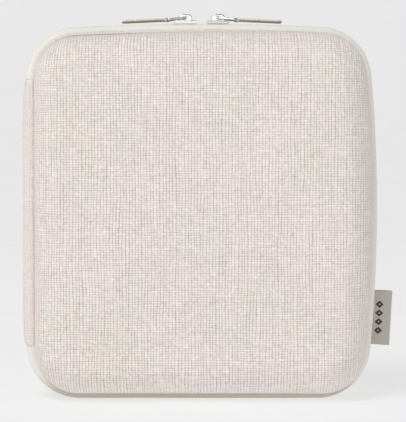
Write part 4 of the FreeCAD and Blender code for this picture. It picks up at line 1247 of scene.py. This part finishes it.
hem_piece = hem()
SEAM_SECTION = [
    (10.25, 7.3), (10.9, 7.22), (13.0, 7.2), (15.4, 7.22), (15.9, 7.4), (15.95, 7.8), (15.0, 7.96),
    (11.5, 7.96), (10.4, 7.9),
]
seam_top = span("pocket_seam_tape")[1][2]
start, end = outline.near(RIGHT, seam_top), outline.near(LEFT, seam_top)
end = outline.length + end if end < start else end
section = refine(SEAM_SECTION, 0.5, rounds=1)
seam = band("pocket_seam_ribbon", section, FRONT, inner_tape, start, end, 1.2)
fit(seam, "lid", "pocket_seam_tape")
path = swept(np.array([[14.9, 7.2]]), np.linspace(start + 1, end - 1, 900), FRONT)[:, 0]
fit(stitches("pocket_seam_stitches", path, [0.0, 1.0, 0.0], sewing), "lid")
across = np.linspace(hem_low[0] + 2, hem_high[0] - 2, 400)
path = np.stack([across, np.full(400, hem_high[1] - 0.12), np.full(400, hem_low[2] + 1.3)], -1)
fit(stitches("pocket_hem_stitches", path, [0.0, 1.0, 0.0], sewing), "lid")


# ------------------------------------------------------------------ retaining band

def slab(name, low, high, material, ribs=0.0, soft=0.35, wave=0.0):
    """A flat strip with softened edges; ribs run along x."""
    z = low[2] + (high[2] - low[2]) * (0.5 - 0.5 * np.cos(math.pi * np.linspace(0, 1, 40)))
    across = np.linspace(low[0], high[0], int((high[0] - low[0]) / 0.9))
    rounds = []
    for place, axis in ((z, 2), (across, 0)):
        fall = np.minimum(place - low[axis], high[axis] - place)
        rounds.append(np.sqrt(np.clip(1 - (1 - np.clip(fall / soft, 0, 1)) ** 2, 0, 1)))
    middle, thick = (high[1] + low[1]) / 2, (high[1] - low[1]) / 2
    body = thick * (0.25 + 0.75 * np.minimum(rounds[0][None], rounds[1][:, None]))
    body = body - ribs + ribs * np.abs(np.sin(z * math.pi / 1.7))[None]
    lift = wave * lattice(sheet_of(across, z), 17.0, 9)
    x, up = np.broadcast_arrays(across[:, None], z[None])
    front = np.stack([x, middle - body + lift, up], -1)
    rear = np.stack([x, middle + body + lift, up], -1)[:, ::-1]
    around = np.concatenate([z, 2 * high[2] - z[::-1], [2 * high[2] - low[2] + 1]])
    return grid(name, np.concatenate([front, rear], 1), sheet_of(across, around), material, *TUBE)


def flat_sewing(name, corners, y, slot, **options):
    """Stitches along (x, z) points on the front of a flat piece."""
    path = upright(np.array(corners), y)
    fit(stitches(name, path, [0.0, -1.0, 0.0], sewing, **options), "base")


PATCH_MARGIN = 1.1
band_low, band_high = span("retaining_band")
elastic_band = slab("elastic_band", band_low, band_high, elastic_cloth, ribs=0.09, wave=0.05)
fit(elastic_band, "base", "retaining_band")
for side, word in SIDES:
    low, high = span(word + "_band_patch")
    patch = slab(word + "_leather_patch", low, high, patch_leather, soft=0.5)
    fit(patch, "base", word + "_band_patch")
    (x0, _, z0), (x1, _, z1) = low + PATCH_MARGIN, high - PATCH_MARGIN
    edge = rounded_loop([(x0, z0), (x1, z0), (x1, z1), (x0, z1)], 0.8)
    edge = np.concatenate([edge, edge[:1]])
    flat_sewing(f"{word}_patch_stitches", edge, low[1] + 0.04, "patch_leather", radius=0.15)
    x0, x1 = side * (band_high[0] - 12.5), side * (band_high[0] - 1.6)
    z0, z1 = band_low[2] + 2.0, band_high[2] - 2.0
    box = [(x0, z0), (x1, z0), (x1, z1), (x0, z1), (x0, z0), (x1, z1), (x1, z0), (x0, z1)]
    flat_sewing(f"{word}_band_stitches", box, band_low[1] + 0.1, "elastic")


# ------------------------------------------------------------------ floor, lights, camera

def backdrop():
    """A plain pale round floor that curves up into a low wall."""
    f = Finish("pale_paper", Roughness=0.9, Specular_IOR_Level=0.1)
    grain = f.noise(f.spot(), 0.02, 3.0)
    f.set("Base Color", f.blend(f.ramp(grain, 0.3, 0.7), tone(146, 146, 146), tone(150, 150, 150)))
    f.set("Emission Strength", 0.63)
    f.set("Emission Color", (1.0, 1.0, 1.0))
    floor, cove, wall_top = 2400.0, 1000.0, 1500.0
    curve = np.linspace(0, math.pi / 2, 16)
    radius = np.concatenate([[1.0, 600.0], floor + cove * np.sin(curve), [floor + cove]])[:, None]
    height = np.concatenate([[0.0, 0.0], cove * (1 - np.cos(curve)), [wall_top]])[:, None]
    turn = np.linspace(0, 2 * math.pi, 72, endpoint=False)
    points = np.stack(np.broadcast_arrays(radius * np.cos(turn), radius * np.sin(turn), height), -1)
    threads = np.zeros((len(radius), len(turn) + 1, 2))
    grid("backdrop", points, threads, f.material, (False, True), ("first_row",), solid=False)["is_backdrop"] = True


def aim(thing, way):
    """Turns a lamp or camera to look along a direction."""
    thing.rotation_mode = "QUATERNION"
    thing.rotation_quaternion = way.to_track_quat("-Z", "Y")


def lamp(name, place, size, power):
    """A round soft lamp that lights the middle of the case."""
    data = bpy.data.lights.new(name, "AREA")
    data.shape, data.size, data.energy = "DISK", size, power
    made = put(name, data)
    made.location = place
    aim(made, Vector((0.0, 0.0, TOP / 2 * MM)) - Vector(place))


backdrop()
lamp("key", (-0.75, -1.15, 2.1), 1.1, 26.0)
lamp("front_fill", (-0.3, -2.4, 0.35), 1.6, 7.0)
world = bpy.data.worlds.new("studio")
world.use_nodes = True
sky = world.node_tree.nodes["Background"].inputs
sky[0].default_value = (1.0, 1.0, 1.0, 1.0)
sky[1].default_value = 0.3
bpy.context.scene.world = world
bpy.context.scene.view_settings.view_transform = "Standard"

VIEW_WIDTH, SENSOR = 0.19834, 36.0
CAMERA_AWAY, CAMERA_RISE = 0.9, math.radians(2.5)
FRONT_PLANE = 0.008
camera_data = bpy.data.cameras.new("camera")
camera_data.sensor_width = SENSOR
camera_data.lens = SENSOR * (CAMERA_AWAY - FRONT_PLANE) / VIEW_WIDTH
camera_data.clip_start, camera_data.clip_end = 0.01, 20.0
camera = put("camera", camera_data)
back = Vector((0.0, -math.cos(CAMERA_RISE), math.sin(CAMERA_RISE)))
camera.location = Vector((0.0006, 0.0, TOP / 2 * MM)) + back * CAMERA_AWAY
aim(camera, -back)
bpy.context.scene.camera = camera

low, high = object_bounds()
